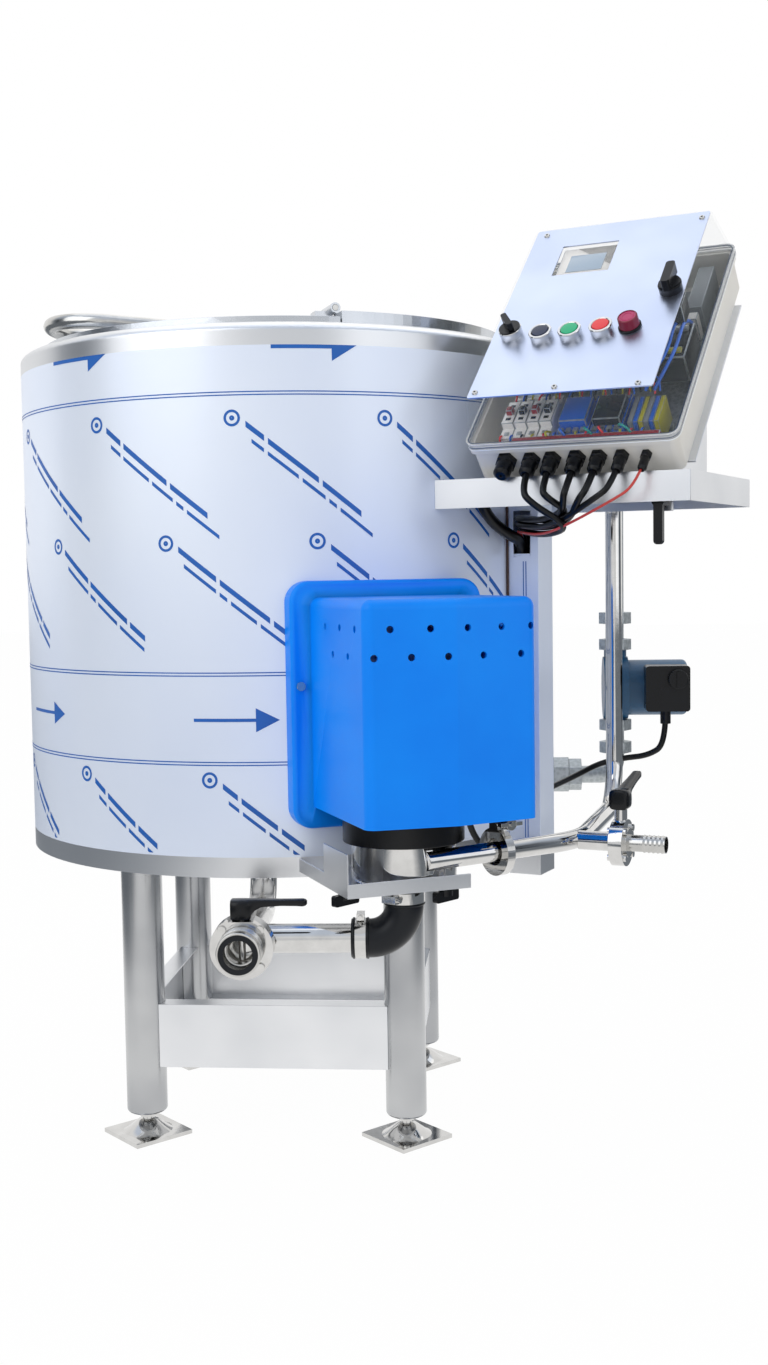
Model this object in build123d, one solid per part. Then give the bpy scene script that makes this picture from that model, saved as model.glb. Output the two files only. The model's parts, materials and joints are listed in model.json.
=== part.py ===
from build123d import *
from math import asin, cos, degrees, hypot, pi, radians, sin, sqrt, tan
import os

# Vat pasteurizer. Millimetres, origin on the vat's axis at floor level,
# X to the right, Y away from the viewer, Z up.

# Stock that is used all over the machine
sheet = 2.0
sheet_heavy = 3.0
milk_pipe_od = 38.1
milk_pipe_wall = 1.5
return_pipe_od = 25.4
return_pipe_wall = 1.5
water_pipe_od = 26.9
water_pipe_wall = 2.6
run_gap = 0.3
shaft_gap = 0.05

# Vat
vessel_r = 347.0
jacket_room = 25.0
wool_t = 20.5
vat_r = vessel_r + jacket_room + wool_t
vat_bottom = 432.5
vat_height = 737.5
vat_top = vat_bottom + vat_height
shoulder_width = 32.5
shoulder_height = 15.0
vessel_floor = vat_bottom + 45.5
vessel_floor_tilt = 3.0
jacket_r = vessel_r + jacket_room
jacket_bottom = vat_bottom + 13.5
jacket_headroom = 70.0
jacket_top = vat_top - jacket_headroom
heater_x = 150.0
heater_y = 200.0
heater_rod_r = 4.25
heater_plug_r = 25.0
heater_reach = 260.0
heater_pitch = 24.0
heater_rise = 16.0

# Stand
leg_od = 60.3
leg_x = 195.5
leg_y = 177.0
leg_bottom = 36.0
leg_cap = 6.0
leg_cap_round = 5.0
foot_plate = 95.0
foot_plate_t = 6.0
foot_dome_r = 28.0
foot_dome_top_r = 14.0
foot_dome_top = 20.0
foot_stud_r = 8.0
foot_stud_top = 70.0
foot_nut_af = 24.0
foot_nut_t = 8.0
stretcher_height = 95.0
stretcher_bottom = 107.0
stretcher_flange = 30.0
stretcher_offset = 18.0

# Lid
lid_turn = 22.4
fixed_lid_overlap = 3.0
fixed_lid_r = vessel_r + fixed_lid_overlap
fixed_lid_height = 18.0
opening_lid_overlap = 10.0
opening_lid_r = vessel_r + opening_lid_overlap
opening_lid_height = 9.0
split_gap = 2.0
knuckle_r = 7.0
hinge_pin_r = 4.0
hinge_pin_gap = 0.2
hinge_rise = 0.8
knuckle_length = 24.0
side_knuckle_length = 14.0
hinge_inset = 47.0
hinge_y = vessel_r - hinge_inset
leaf_t = 3.0
leaf_width = 25.0
bow_od = 22.0
bow_half_width = 80.0
bow_inset = 10.0
bow_reach = opening_lid_r - bow_inset
bow_rise = 40.0
bow_slope = 0.057
bow_leg_end = 34.0
bow_bend_r = 79.0
saddle_length = 20.0
saddle_width = 16.0
saddle_places = (60.0, 230.0)

# Drain line
drain_x = 2.0
drain_y = -255.0
drain_drop = 66.5
drain_z = vat_bottom - drain_drop
drain_turn = 2.8
drain_bend_r = 48.0
tee_to_valve = 41.902
drain_valve_r = 40.5
drain_valve_length = 24.0
drain_seat_r = 24.0
drain_disc_gap = 0.25
drain_disc_t = 4.0
drain_stem_r = 5.0
drain_collar_r = 26.5
collar_t = 3.0
valve_seat_lip = 2.0
bolt_head = 1.8
bolt_head_t = 1.4
drain_neck_r = 12.0
drain_neck_top = 34.0
drain_bolt_r = 3.0
drain_bolt_pcd = 68.0
drain_lever_hub_r = 14.0
drain_lever_hub_h = 27.0
drain_lever_reach = 84.0
lever_tip = 7.0
lever_t = 8.0
nipple_od = 56.0
nipple_length = 33.0
nipple_bore_r = 20.0
nipple_floor = 10.0
elbow_od = 50.0
elbow_bend_r = 45.0
elbow_top = 64.0
hose_grip = 24.0
clamp_band_t = 1.4
clamp_band_w = 14.0
clamp_screw_r = 4.0
clamp_screw_length = 22.0
clamp_housing_w = 10.0
clamp_screw_end = 6.0

# Pump and its tray
pump_turn = 26.0
pump_stand_off = 103.5
pump_out = vat_r + pump_stand_off
tray_above_base = 7.5
tray_bottom = vat_bottom + tray_above_base
tray_left = -104.0
tray_right = 61.0
tray_past_pump = 74.0
tray_front = pump_out + tray_past_pump
tray_lip = 18.0
tray_side_top = tray_bottom + 55.0
tray_side_depth = 90.0
volute_r = 68.0
volute_top = tray_bottom + 55.0
volute_wall = 3.0
volute_round = 8.0
lantern_r = 78.5
lantern_height = 36.0
lantern_top = volute_top + lantern_height
motor_r = 56.0
motor_height = 165.0
motor_bore = 110.0
motor_box = (34.0, 70.0, 80.0)
shaft_r = 7.0
impeller_r = 50.0
impeller_t = 12.0
impeller_vanes = 6
impeller_hub_h = 24.0
impeller_disc_t = 4.0
vane_t = 3.0
lantern_wall = 14.0
lantern_lip = 8.0
motor_round = 12.0
motor_box_rise = 30.0
motor_box_sink = 10.0
stud_r = 3.0
knob_places = ((-84.0, pump_out + 9.0), (40.0, pump_out + 42.0))
wing_hub_r = 9.0
wing_hub_h = 14.0
wing_span = 42.0
wing_t = 8.0
wing_h = 14.0

# Hood over the pump's motor
hood_offset = 20.5
hood_stand_off = 4.7
hood_base = vat_r + hood_stand_off
hood_wall = 4.0
hood_flange_half = 137.0
hood_flange_low = tray_bottom + 60.0
hood_flange_height = 328.0
hood_flange_high = hood_flange_low + hood_flange_height
hood_flange_round = 28.0
hood_low = hood_flange_low + 30.0
hood_high = hood_flange_high - 22.0
hood_base_half = 109.0
hood_corner_half = 114.0
hood_past_pump = 118.2
hood_corner_out = pump_out - hood_base + hood_past_pump
hood_ridge = 14.0
hood_ridge_out = hood_corner_out + hood_ridge
hood_edge_round = 14.0
hood_hole_r = 4.5
hood_upper_row = hood_high - 36.0
hood_lower_row = hood_high - 70.0
hood_upper_holes = (-83.0, -33.0, 15.0, 63.0, 106.0)
hood_lower_holes = (-103.0, -57.0, -11.0, 37.0, 91.0)
hood_side_upper = (35.0, 92.0, 150.0)
hood_side_lower = (62.0, 120.0)
hood_screw_z = hood_high - 116.0
hood_screw_r = 3.0
hood_screw_head_r = 6.0
hood_screw_inset = 12.0

# Milk return line
spout_offset = (46.568, -46.198)
return_turn = 38.0
return_z = tray_bottom + 37.0
return_clamp_at = 93.0
ferrule_r = 25.25
ferrule_t = 2.85
tri_clamp_r = 31.0
tri_clamp_w = 12.0
tri_lug_half = 9.0
tri_lug_h = 13.0
tri_stud_r = 3.0
tri_stud_rise = 8.0
tri_stud_end = 33.0
tri_ferrule_room = 5.0
wing_nut_r = 8.0
wing_nut_out = 31.0
wing_nut_span = 34.0
wing_nut_w = 8.0
wing_nut_t = 5.0
wing_nut_middle = 27.5
return_p1_at = 230.8
return_p2 = (vat_r + 119.5, -40.0)
return_high = vat_top - 50.0
return_p4 = (vessel_r - 42.0, -24.0)
return_end = return_high - 60.0
return_radii = (120.0, 70.0, 60.0, 30.0)
stub_turn = -20.0
side_valve_at = 57.0
side_valve_r = 31.0
side_valve_length = 18.0
side_seat_r = 16.0
side_disc_t = 3.0
side_stem_r = 4.0
side_collar_r = 19.0
side_neck_r = 8.5
side_neck_top = 44.0
side_bolt_r = 2.5
side_bolt_pcd = 50.0
side_lever_hub_r = 14.0
side_lever_hub_h = 27.0
side_lever_reach = 84.0
side_lever_rise = 12.0
barb_od = 22.0
barb_ring_r = 12.0
barb_rings = 5
barb_ring_pitch = 6.0
barb_end = 118.0

# Service column and shelf
arm_turn = -22.5
column_depth = 47.5
column_out = vat_r + column_depth
column_front = 27.0
column_back = 28.0
column_bottom = vat_bottom - 35.5
window_height = 65.0
window_half = 13.0
window_s = column_out - 25.0
shelf_front = 178.0
shelf_rear = 120.0
shelf_reach = 312.5
shelf_end = vat_r + shelf_reach
shelf_inner = vessel_r - 2.0
shelf_drop = 39.0
clamp_s = shelf_end - 47.0
clamp_p = shelf_front - 37.0
clamp_lug = 6.0
clamp_hub_r = 9.0
clamp_hub_l = 22.0
clamp_arm = 57.0

# Control console
console_s = shelf_end - 156.0
console_p = shelf_front + 56.0
console_z = vat_top - 108.5
window_low = console_z - 204.5
window_high = window_low + window_height
clamp_z = console_z - 136.5
console_tilt = 45.0
plate_w = 250.0
plate_h = 368.0
plate_t = 2.0
lid_depth = 75.0
case_w = 288.0
case_low = -15.0
case_high = 383.0
case_depth = 130.0
case_lip = 8.0
case_inset = 3.0
case_wall = 3.5
case_corner = 12.0
lid_margin = 5.0
lid_wall = 3.0
bracket_t = 3.0
bracket_left = -130.0
bracket_right = 151.0
bracket_high = 330.0
gusset_x = (-100.0, 100.0)
button_r = 11.0
button_top = 12.0
button_bottom = -12.0
bezel_r = 15.5
bezel_h = 8.0
bezel_barrel_r = 13.0
bezel_barrel = 16.0
selector_at = (-98.0, 128.0)
reset_at = (-52.0, 117.0)
start_at = (-11.0, 116.0)
stop_at = (31.0, 119.0)
lamp_at = (68.0, 122.0)
switch_at = (107.0, 194.0)
gear_plate_half = 120.0
gear_plate_span = (5.0, 365.0)
gear_plate_t = 2.0
rail_half = 112.0
rail_w = 35.0
rail_t = 7.5
rail_ys = (50.0, 190.0)
breaker_at = -106.0
breaker_w = 17.6
breaker_pitch = 18.0
breaker_span = (8.0, 92.0, 62.0)
contactor_at = -28.0
contactor_w = 44.0
contactor_pitch = 46.0
contactor_span = (12.0, 88.0, 58.0)
terminal_at = 68.0
terminal_w = 6.6
terminal_pitch = 7.0
terminal_span = (25.0, 75.0, 50.0)
relay_box = (-100.0, -20.0, 150.0, 230.0, 60.0)
supply_box = (0.0, 60.0, 155.0, 225.0, 66.0)
contact_block = (13.0, 15.0, 30.0)
display_depth = 30.0
knob_blade = (8.0, 30.0, 14.0)
switch_paddle = (12.0, 44.0, 16.0)
display_low = (-76.0, 255.0)
display_high = (6.0, 323.0)
gland_places = (-94.0, -59.0, -30.0, 4.0, 34.0, 65.0, 98.0)
gland_radii = (13.5, 12.0, 12.0, 12.0, 11.0, 9.5, 7.0)
gland_depth = 98.0
gland_hex = 9.0
gland_length = 32.0
cable_radii = (1.75, 4.5, 4.5, 4.5, 4.5, 4.0, 1.75)
harness_r = 8.0
bundle_s = 546.0
bundle_p = 194.0
bundle_z = console_z - 159.5
lane = 9.4
entry_z = console_z - 158.5
cable_hole_gap = 1.5
column_rear_lane = -19.0
gland_straight = 27.0

# Heating circuit
water_stand_off = 126.5
water_x = vat_r + water_stand_off
water_y = 45.0
water_low = vat_bottom + 79.5
water_high = jacket_top - 110.0
pump_z = water_low + 138.0
circulator_r = 49.0
circulator_w = 38.0
circulator_motor_r = 43.5
circulator_end = water_x + 111.0
box_left = water_x + 42.0
box_right = water_x + 109.0
box_low = pump_z - 32.0
box_high = pump_z + 38.0
box_front = -30.0
circulator_knob_x = box_right - 19.0
circulator_knob_z = box_high - 20.0
circulator_knob_r = 15.0
circulator_knob_t = 11.0
water_gland_x = box_left + 31.0
water_gland_y = -12.0
water_gland_length = 20.0
union_spans = ((-103.0, -85.0), (-67.0, -50.0), (60.0, 77.0), (101.0, 119.0))
union_zs = [(pump_z + low, pump_z + high) for low, high in union_spans]
union_af = 44.0
wall_union = (vat_r + 28.5, vat_r + 52.5, vat_r + 72.5)
wall_union_af = 48.0
rotor_shaft_r = 5.0
rotor_r = 25.0

def block(x0, x1, y0, y1, z0, z1):
    centre = Pos((x0 + x1) / 2, (y0 + y1) / 2, (z0 + z1) / 2)
    return centre * Box(x1 - x0, y1 - y0, z1 - z0)


def rod(r, z0, z1, x=0.0, y=0.0):
    return Pos(x, y, (z0 + z1) / 2) * Cylinder(r, z1 - z0)


def ring(outer, inner, z0, z1):
    return rod(outer, z0, z1) - rod(inner, z0 - 1, z1 + 1)


def rod_x(r, x0, x1, y=0.0, z=0.0):
    return Pos((x0 + x1) / 2, y, z) * Rot(0, 90, 0) * Cylinder(r, x1 - x0)


def rod_y(r, y0, y1, x=0.0, z=0.0):
    return Pos(x, (y0 + y1) / 2, z) * Rot(90, 0, 0) * Cylinder(r, y1 - y0)


def hexagon(af, z0, z1):
    return Pos(0, 0, z0) * extrude(RegularPolygon(af / 2, 6, major_radius=False), z1 - z0)


def slab(points, plane, amount):
    return extrude(plane * make_face(Polyline(*points, close=True)), amount)


def path(points, radii):
    if len(points) == 2:
        return Line(*points)
    return FilletPolyline(*points, radius=list(radii))


def swept(line, r):
    start = Plane(origin=line @ 0, z_dir=line % 0)
    return sweep(start * Circle(r), path=line)


def pieces(*shapes):
    found = []
    for shape in shapes:
        found.extend(shape.solids())
    return found


def save(name, *shapes):
    found = pieces(*shapes)
    node = found[0] if len(found) == 1 else Compound(children=found)
    node.label = name
    export_step(node, "parts/" + name + ".step")


def cable_radius(points):
    radii = []
    for before, here, after in zip(points, points[1:], points[2:]):
        a = Vector(*here) - Vector(*before)
        b = Vector(*after) - Vector(*here)
        turn = radians(a.get_angle(b))
        radii.append(0.45 * min(a.length, b.length) / tan(turn / 2))
    return radii


# Frames that the pieces are placed in
lid_frame = Rot(0, 0, lid_turn)
drain_frame = Pos(drain_x, drain_y, drain_z) * Rot(0, 0, drain_turn)
pump_frame = Rot(0, 0, pump_turn)
pump_axis = pump_frame * Pos(0, -pump_out, 0)
hood_frame = pump_frame * Pos(hood_offset, 0, 0)
arm_frame = Rot(0, 0, arm_turn)
console = arm_frame * Pos(console_s, -console_p, console_z) * Rot(console_tilt, 0, 0)
spout_axis = pump_axis.position + Vector(*spout_offset)
return_frame = Pos(spout_axis.X, spout_axis.Y, return_z) * Rot(0, 0, return_turn)
side_frame = return_frame * Pos(return_p1_at, 0, 0) * Rot(0, 0, stub_turn - return_turn)


def place(frame, x, y, z):
    return (frame * Pos(x, y, z)).position


def arm_point(s, p, z):
    return place(arm_frame, s, -p, z)


vat_space = rod(vat_r, 0, vat_top)
water_cut = rod_x(water_pipe_od / 2, vessel_r + 5, vat_r + 5, water_y, water_low)
water_cut += rod_x(water_pipe_od / 2, vessel_r + 5, vat_r + 5, water_y, water_high)
drain_hole = rod(milk_pipe_od / 2, 0, vat_top, drain_x, drain_y)
over_floor = Pos(0, 0, vessel_floor) * Rot(vessel_floor_tilt, 0, 0)


def return_points():
    start = place(return_frame, return_clamp_at, 0, 0)
    return [
        start,
        place(return_frame, return_p1_at, 0, 0),
        Vector(return_p2[0], return_p2[1], return_z),
        Vector(return_p2[0], return_p2[1], return_high),
        Vector(return_p4[0], return_p4[1], return_high),
        Vector(return_p4[0], return_p4[1], return_end),
    ]


return_line = path(return_points(), return_radii)
return_rod = swept(return_line, return_pipe_od / 2)


def vat():
    tall = vat_top - vat_bottom
    shoulder_r = vat_r - shoulder_width
    shoulder_z = vat_top - shoulder_height
    outside = Polyline((vessel_r, vat_top), (vessel_r, vat_top - sheet), (shoulder_r, vat_top - sheet))
    inner_arc = EllipticalCenterArc(
        (shoulder_r, shoulder_z), shoulder_width - sheet, shoulder_height - sheet, 0, arc_size=90)
    outer_arc = EllipticalCenterArc(
        (shoulder_r, shoulder_z), shoulder_width, shoulder_height, 0, arc_size=90)
    foot = Polyline(
        (vat_r - sheet, shoulder_z), (vat_r - sheet, vat_bottom), (vat_r, vat_bottom), (vat_r, shoulder_z))
    top = Line((shoulder_r, vat_top), (vessel_r, vat_top))
    profile = make_face([*outside.edges(), inner_arc, *foot.edges(), outer_arc, top])
    wall = revolve(Plane.XZ * profile, Axis.Z)
    save("outer_wall", wall - water_cut - return_rod)

    shell = rod(vessel_r, vat_bottom, vat_top) & (over_floor * Pos(0, 0, tall / 2) * Box(999, 999, tall))
    hollow_base = over_floor * Pos(0, 0, tall / 2 + sheet) * Box(999, 999, tall)
    hollow = rod(vessel_r - sheet, vat_bottom, vat_top + 1) & hollow_base
    outlet = rod(milk_pipe_od / 2 - milk_pipe_wall, vat_bottom, vessel_floor + 20, drain_x, drain_y)
    save("inner_vessel", shell - hollow - outlet - return_rod)

    jacket = ring(jacket_r, jacket_r - sheet, jacket_bottom, jacket_top)
    jacket += rod(jacket_r - sheet, jacket_bottom, jacket_bottom + sheet)
    jacket += ring(jacket_r - sheet, vessel_r, jacket_top - sheet, jacket_top)
    plugs = heater_plug(1) + heater_plug(-1)
    save("jacket_shell", jacket - drain_hole - water_cut - plugs)
    wool = ring(vat_r - sheet, jacket_r, vat_bottom + sheet, jacket_top)
    save("insulation", wool - water_cut)
    pan = rod(vat_r - sheet, vat_bottom, vat_bottom + sheet)
    save("base_pan", pan - drain_hole)


def heater_plug(side):
    top = jacket_bottom + sheet + 4
    return rod(heater_plug_r, vat_bottom + sheet, top, side * heater_x, heater_y)


def heaters():
    found = []
    top = jacket_bottom + sheet + 4
    for side in (-1, 1):
        near = side * (heater_x - heater_pitch / 2)
        far = side * (heater_x + heater_pitch / 2)
        points = [
            (near, heater_y, top), (near, heater_y, top + heater_rise),
            (near, heater_y - heater_reach, top + heater_rise),
            (far, heater_y - heater_reach, top + heater_rise),
            (far, heater_y, top + heater_rise), (far, heater_y, top)]
        hairpin = swept(path(points, [heater_rise * 0.7, 11, 11, heater_rise * 0.7]), heater_rod_r)
        found.append(heater_plug(side) + hairpin)
    save("jacket_heaters", *found)


def stand():
    corners = [(x, y) for x in (-leg_x, leg_x) for y in (-leg_y, leg_y)]
    legs = []
    feet = []
    leg_r = leg_od / 2
    for x, y in corners:
        outer = rod(leg_r, leg_bottom, vat_bottom)
        outer = fillet(outer.edges().filter_by(GeomType.CIRCLE).sort_by(Axis.Z)[0], leg_cap_round)
        leg = outer - rod(leg_r - sheet, leg_bottom + leg_cap, vat_bottom + 1)
        legs.append(Pos(x, y, 0) * (leg - rod(foot_stud_r + shaft_gap, 0, leg_bottom + leg_cap + 1)))
        base = Pos(0, 0, foot_plate_t / 2) * Rot(0, 0, 45) * Box(foot_plate, foot_plate, foot_plate_t)
        dome = Pos(0, 0, (foot_plate_t + foot_dome_top) / 2) * Cone(
            foot_dome_r, foot_dome_top_r, foot_dome_top - foot_plate_t)
        stud = rod(foot_stud_r, foot_dome_top, foot_stud_top)
        stud += hexagon(foot_nut_af, leg_bottom - foot_nut_t, leg_bottom)
        feet.extend([Pos(x, y, 0) * (base + dome), Pos(x, y, 0) * stud])
    save("legs", *legs)
    save("levelling_feet", *feet)

    z0 = stretcher_bottom
    z1 = z0 + stretcher_height
    cope = rod(leg_r, 0, vat_bottom, leg_x, leg_y)
    for x, y in corners[:3]:
        cope += rod(leg_r, 0, vat_bottom, x, y)
    channels = []
    for turn, half, away in ((0, leg_x, leg_y), (90, leg_y, leg_x), (180, leg_x, leg_y), (270, leg_y, leg_x)):
        face = -away - stretcher_offset
        channel = block(-half, half, face, face + stretcher_flange, z0, z1)
        channel -= block(-half, half, face + sheet, face + stretcher_flange + 1, z0 + sheet, z1 - sheet)
        channels.append(Rot(0, 0, turn) * channel - cope)
    save("stretchers", *channels)


hinge_z = vat_top + fixed_lid_height + knuckle_r + hinge_rise


def lid():
    top = vat_top + fixed_lid_height
    half = rod(fixed_lid_r, vat_top, top) & block(split_gap, 999, -999, 999, vat_top, top)
    hollow = rod(fixed_lid_r - sheet, vat_top - 1, top - sheet)
    hollow &= block(split_gap + sheet, 999, -999, 999, vat_top - 1, top)
    fixed = half - hollow
    low_top = vat_top + opening_lid_height
    half = rod(opening_lid_r, vat_top, low_top) & block(-999, -split_gap, -999, 999, vat_top, low_top)
    hollow = rod(opening_lid_r - sheet, vat_top - 1, low_top - sheet)
    hollow &= block(-999, -split_gap - sheet, -999, 999, vat_top - 1, low_top)
    opening = half - hollow
    bore = hinge_pin_r + hinge_pin_gap
    pins = []
    for side in (-1, 1):
        y = side * hinge_y
        a = y - knuckle_length / 2
        b = y + knuckle_length / 2
        knuckle = rod_y(knuckle_r, a, b, 0, hinge_z)
        knuckle += block(-leaf_width, 0, a, b, low_top, hinge_z - 3)
        opening += knuckle - rod_y(bore, a - 1, b + 1, 0, hinge_z)
        for near, far in ((a - run_gap - side_knuckle_length, a - run_gap),
                          (b + run_gap, b + run_gap + side_knuckle_length)):
            knuckle = rod_y(knuckle_r, near, far, 0, hinge_z)
            knuckle += block(0, leaf_width, near, far, top, top + leaf_t)
            fixed += knuckle - rod_y(bore, near - 1, far + 1, 0, hinge_z)
        reach = knuckle_length / 2 + run_gap + side_knuckle_length
        pins.append(rod_y(hinge_pin_r, y - reach, y + reach, 0, hinge_z))
    save("lid_fixed_half", lid_frame * fixed)
    save("lid_opening_half", lid_frame * opening)
    save("lid_hinge_pins", *[lid_frame * pin for pin in pins])

    def bow_z(x):
        return vat_top + bow_rise + bow_slope * (x + bow_reach) * -1

    near = -bow_leg_end
    far = -bow_reach
    w = bow_half_width
    points = [(near, -w, bow_z(near)), (far, -w, bow_z(far)), (far, w, bow_z(far)), (near, w, bow_z(near))]
    line = path(points, [bow_bend_r, bow_bend_r])
    outer = swept(line, bow_od / 2)
    tube = outer - swept(line, bow_od / 2 - sheet)
    saddles = []
    for x in saddle_places:
        for side in (-1, 1):
            y = side * w
            saddle = block(-x - saddle_length / 2, -x + saddle_length / 2,
                           y - saddle_width / 2, y + saddle_width / 2, low_top, bow_z(-x))
            saddles.append(lid_frame * (saddle - outer))
    save("lid_bow", lid_frame * tube, *saddles)


def lever(hub_r, hub_h, reach, rise):
    root = hub_r * 0.8
    neck = reach - lever_tip
    arm = slab([(0, -root), (neck, -lever_tip), (reach, 0), (neck, lever_tip), (0, root)], Plane.XY, lever_t)
    arm = Pos(0, 0, hub_h - lever_t - reach * 0.1 * sin(radians(rise))) * Rot(0, -rise, 0) * arm
    return rod(hub_r, 0, hub_h) + arm


def valve_body(flange_r, length, seat_r, neck_r, neck_top, stem_r, bolt_r, bolt_pcd, bore_r, notch):
    body = rod_y(flange_r, -length / 2, length / 2)
    body += rod(neck_r, 0, neck_top)
    body -= block(-notch, notch, -length, length, neck_top, neck_top + flange_r)
    lip = length / 2 - valve_seat_lip
    body -= rod_y(seat_r, -lip, lip)
    body -= rod_y(bore_r, -length, length)
    body -= rod(stem_r + shaft_gap, -seat_r - 3, neck_top + 1)
    bolts = []
    for turn in (45, 135, 225, 315):
        x = bolt_pcd / 2 * cos(radians(turn))
        z = bolt_pcd / 2 * sin(radians(turn))
        hole = rod_y(bolt_r, -length, length, x, z)
        body -= hole
        bolt = rod_y(bolt_r, -length / 2, length / 2, x, z)
        far = length / 2 + bolt_r * bolt_head_t
        head = rod_y(bolt_r * bolt_head, -far, -length / 2, x, z)
        nut = rod_y(bolt_r * bolt_head, length / 2, far, x, z)
        bolts.append(bolt + head + nut)
    return body, bolts


def valve_seat(length, seat_r, bore_r, stem_r):
    lip = length / 2 - valve_seat_lip
    seat = rod_y(seat_r, -lip, lip) - rod_y(bore_r, -length, length)
    return seat - rod(stem_r + shaft_gap, -seat_r, seat_r)


def valve_disc(bore_r, seat_r, thick, stem_r, top):
    disc = rod_y(bore_r - drain_disc_gap, -thick / 2, thick / 2)
    return disc + rod(stem_r, -seat_r - 2, top)


drain_bore_r = milk_pipe_od / 2 - milk_pipe_wall
side_bore_r = return_pipe_od / 2 - return_pipe_wall
pump_in_drain = (drain_frame.inverse() * pump_axis).position
suction_end = pump_in_drain.X - elbow_bend_r
drain_tee = -pump_in_drain.Y
drain_valve_at = drain_tee + tee_to_valve
drain_valve_frame = drain_frame * Pos(0, -drain_valve_at, 0)
side_valve_frame = side_frame * Pos(side_valve_at, 0, 0) * Rot(0, 0, 90)


def drain_line():
    r = milk_pipe_od / 2
    rise = vessel_floor - drain_z
    ends = [(0, 0, rise), (0, 0, 0), (0, -drain_valve_at + drain_valve_length / 2, 0)]
    line = path(ends, [drain_bend_r])
    branch = rod_x(r, 0, suction_end, -drain_tee)
    outer = swept(line, r) + branch
    inner = swept(line, r - milk_pipe_wall) + rod_x(r - milk_pipe_wall, 0, suction_end, -drain_tee)
    face = -drain_valve_at + drain_valve_length / 2
    collar = rod_y(drain_collar_r, face, face + collar_t)
    pipe = drain_frame * (outer + collar - inner)
    save("drain_pipe", pipe - (over_floor * Pos(0, 0, 50) * Box(200, 900, 100)))

    body, bolts = valve_body(
        drain_valve_r, drain_valve_length, drain_seat_r, drain_neck_r, drain_neck_top,
        drain_stem_r, drain_bolt_r, drain_bolt_pcd, drain_bore_r, drain_lever_hub_r + 2)
    save("drain_valve_body", *[drain_valve_frame * piece for piece in (body, *bolts)])
    disc = valve_disc(
        drain_bore_r, drain_seat_r, drain_disc_t, drain_stem_r, drain_neck_top + drain_lever_hub_h - 3)
    save("drain_valve_disc", drain_valve_frame * disc)
    handle = Pos(0, 0, drain_neck_top + run_gap) * lever(
        drain_lever_hub_r, drain_lever_hub_h, drain_lever_reach, 0)
    save("drain_valve_lever", drain_valve_frame * (handle - disc))

    face = -drain_valve_length / 2
    nipple = rod_y(nipple_od / 2, face - nipple_length, face)
    nipple -= rod_y(nipple_bore_r, face - nipple_length - 1, face - nipple_floor)
    nipple -= rod_y(drain_bore_r, face - nipple_floor - 1, face + 1)
    save("drain_nipple", drain_valve_frame * nipple)

    end = pump_in_drain
    start = suction_end - hose_grip
    points = [(start, -drain_tee, 0), (end.X, -drain_tee, 0), (end.X, -drain_tee, elbow_top)]
    line = path(points, [elbow_bend_r])
    hose = swept(line, elbow_od / 2) - swept(line, milk_pipe_od / 2)
    save("suction_elbow", drain_frame * hose)


def band_clamp(outer_r, width, band):
    clamp = ring(outer_r + band, outer_r, -width / 2, width / 2)
    out = -outer_r - band - clamp_screw_r + 1
    half = clamp_screw_length / 2
    housing = Pos(0, out, 0) * Box(clamp_screw_length, 2 * clamp_screw_r, clamp_housing_w)
    screw = rod_x(clamp_screw_r - 1, half, half + clamp_screw_end, out)
    return clamp + (housing - rod(outer_r + band / 2, -width, width)) + screw


clamp_joint = return_frame * Pos(return_clamp_at, 0, 0)


def clamps():
    found = []
    lower = drain_frame * Pos(suction_end - hose_grip / 2, -drain_tee, 0) * Rot(0, 90, 0) * Rot(0, 0, -90)
    found.append(lower * band_clamp(elbow_od / 2, clamp_band_w, clamp_band_t))
    upper_z = drain_z + elbow_top - clamp_band_w / 2 - 2
    upper = pump_axis * Pos(0, 0, upper_z) * Rot(0, 0, -60)
    found.append(upper * band_clamp(elbow_od / 2, clamp_band_w, clamp_band_t))
    half = tri_clamp_w / 2
    side = tri_lug_half
    tri = rod_x(tri_clamp_r, -half, half) - rod_x(ferrule_r, -tri_clamp_w, tri_clamp_w)
    lug = block(-half, half, -side, side, tri_clamp_r - 3, tri_clamp_r + tri_lug_h)
    tri += lug - rod_x(ferrule_r + 2, -tri_clamp_w, tri_clamp_w)
    lip = rod_x(ferrule_r, -half, -ferrule_t) + rod_x(ferrule_r, ferrule_t, half)
    tri += lip - rod_x(return_pipe_od / 2 + tri_ferrule_room, -tri_clamp_w, tri_clamp_w)
    stud_height = Pos(0, 0, tri_clamp_r + tri_stud_rise)
    stud = stud_height * rod_y(tri_stud_r, -tri_stud_end, -side)
    found.append(clamp_joint * (tri + stud))
    save("pipe_clamps", *found)
    hub = rod_y(wing_nut_r, -wing_nut_out, -side - run_gap) - rod_y(tri_stud_r + shaft_gap, -40, 0)
    wings = Pos(0, -wing_nut_middle, 0) * Box(wing_nut_span, wing_nut_w, wing_nut_t)
    wings -= rod_y(tri_stud_r + 4, -40, 0)
    save("clamp_wing_nut", clamp_joint * stud_height * (hub + wings))


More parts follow.
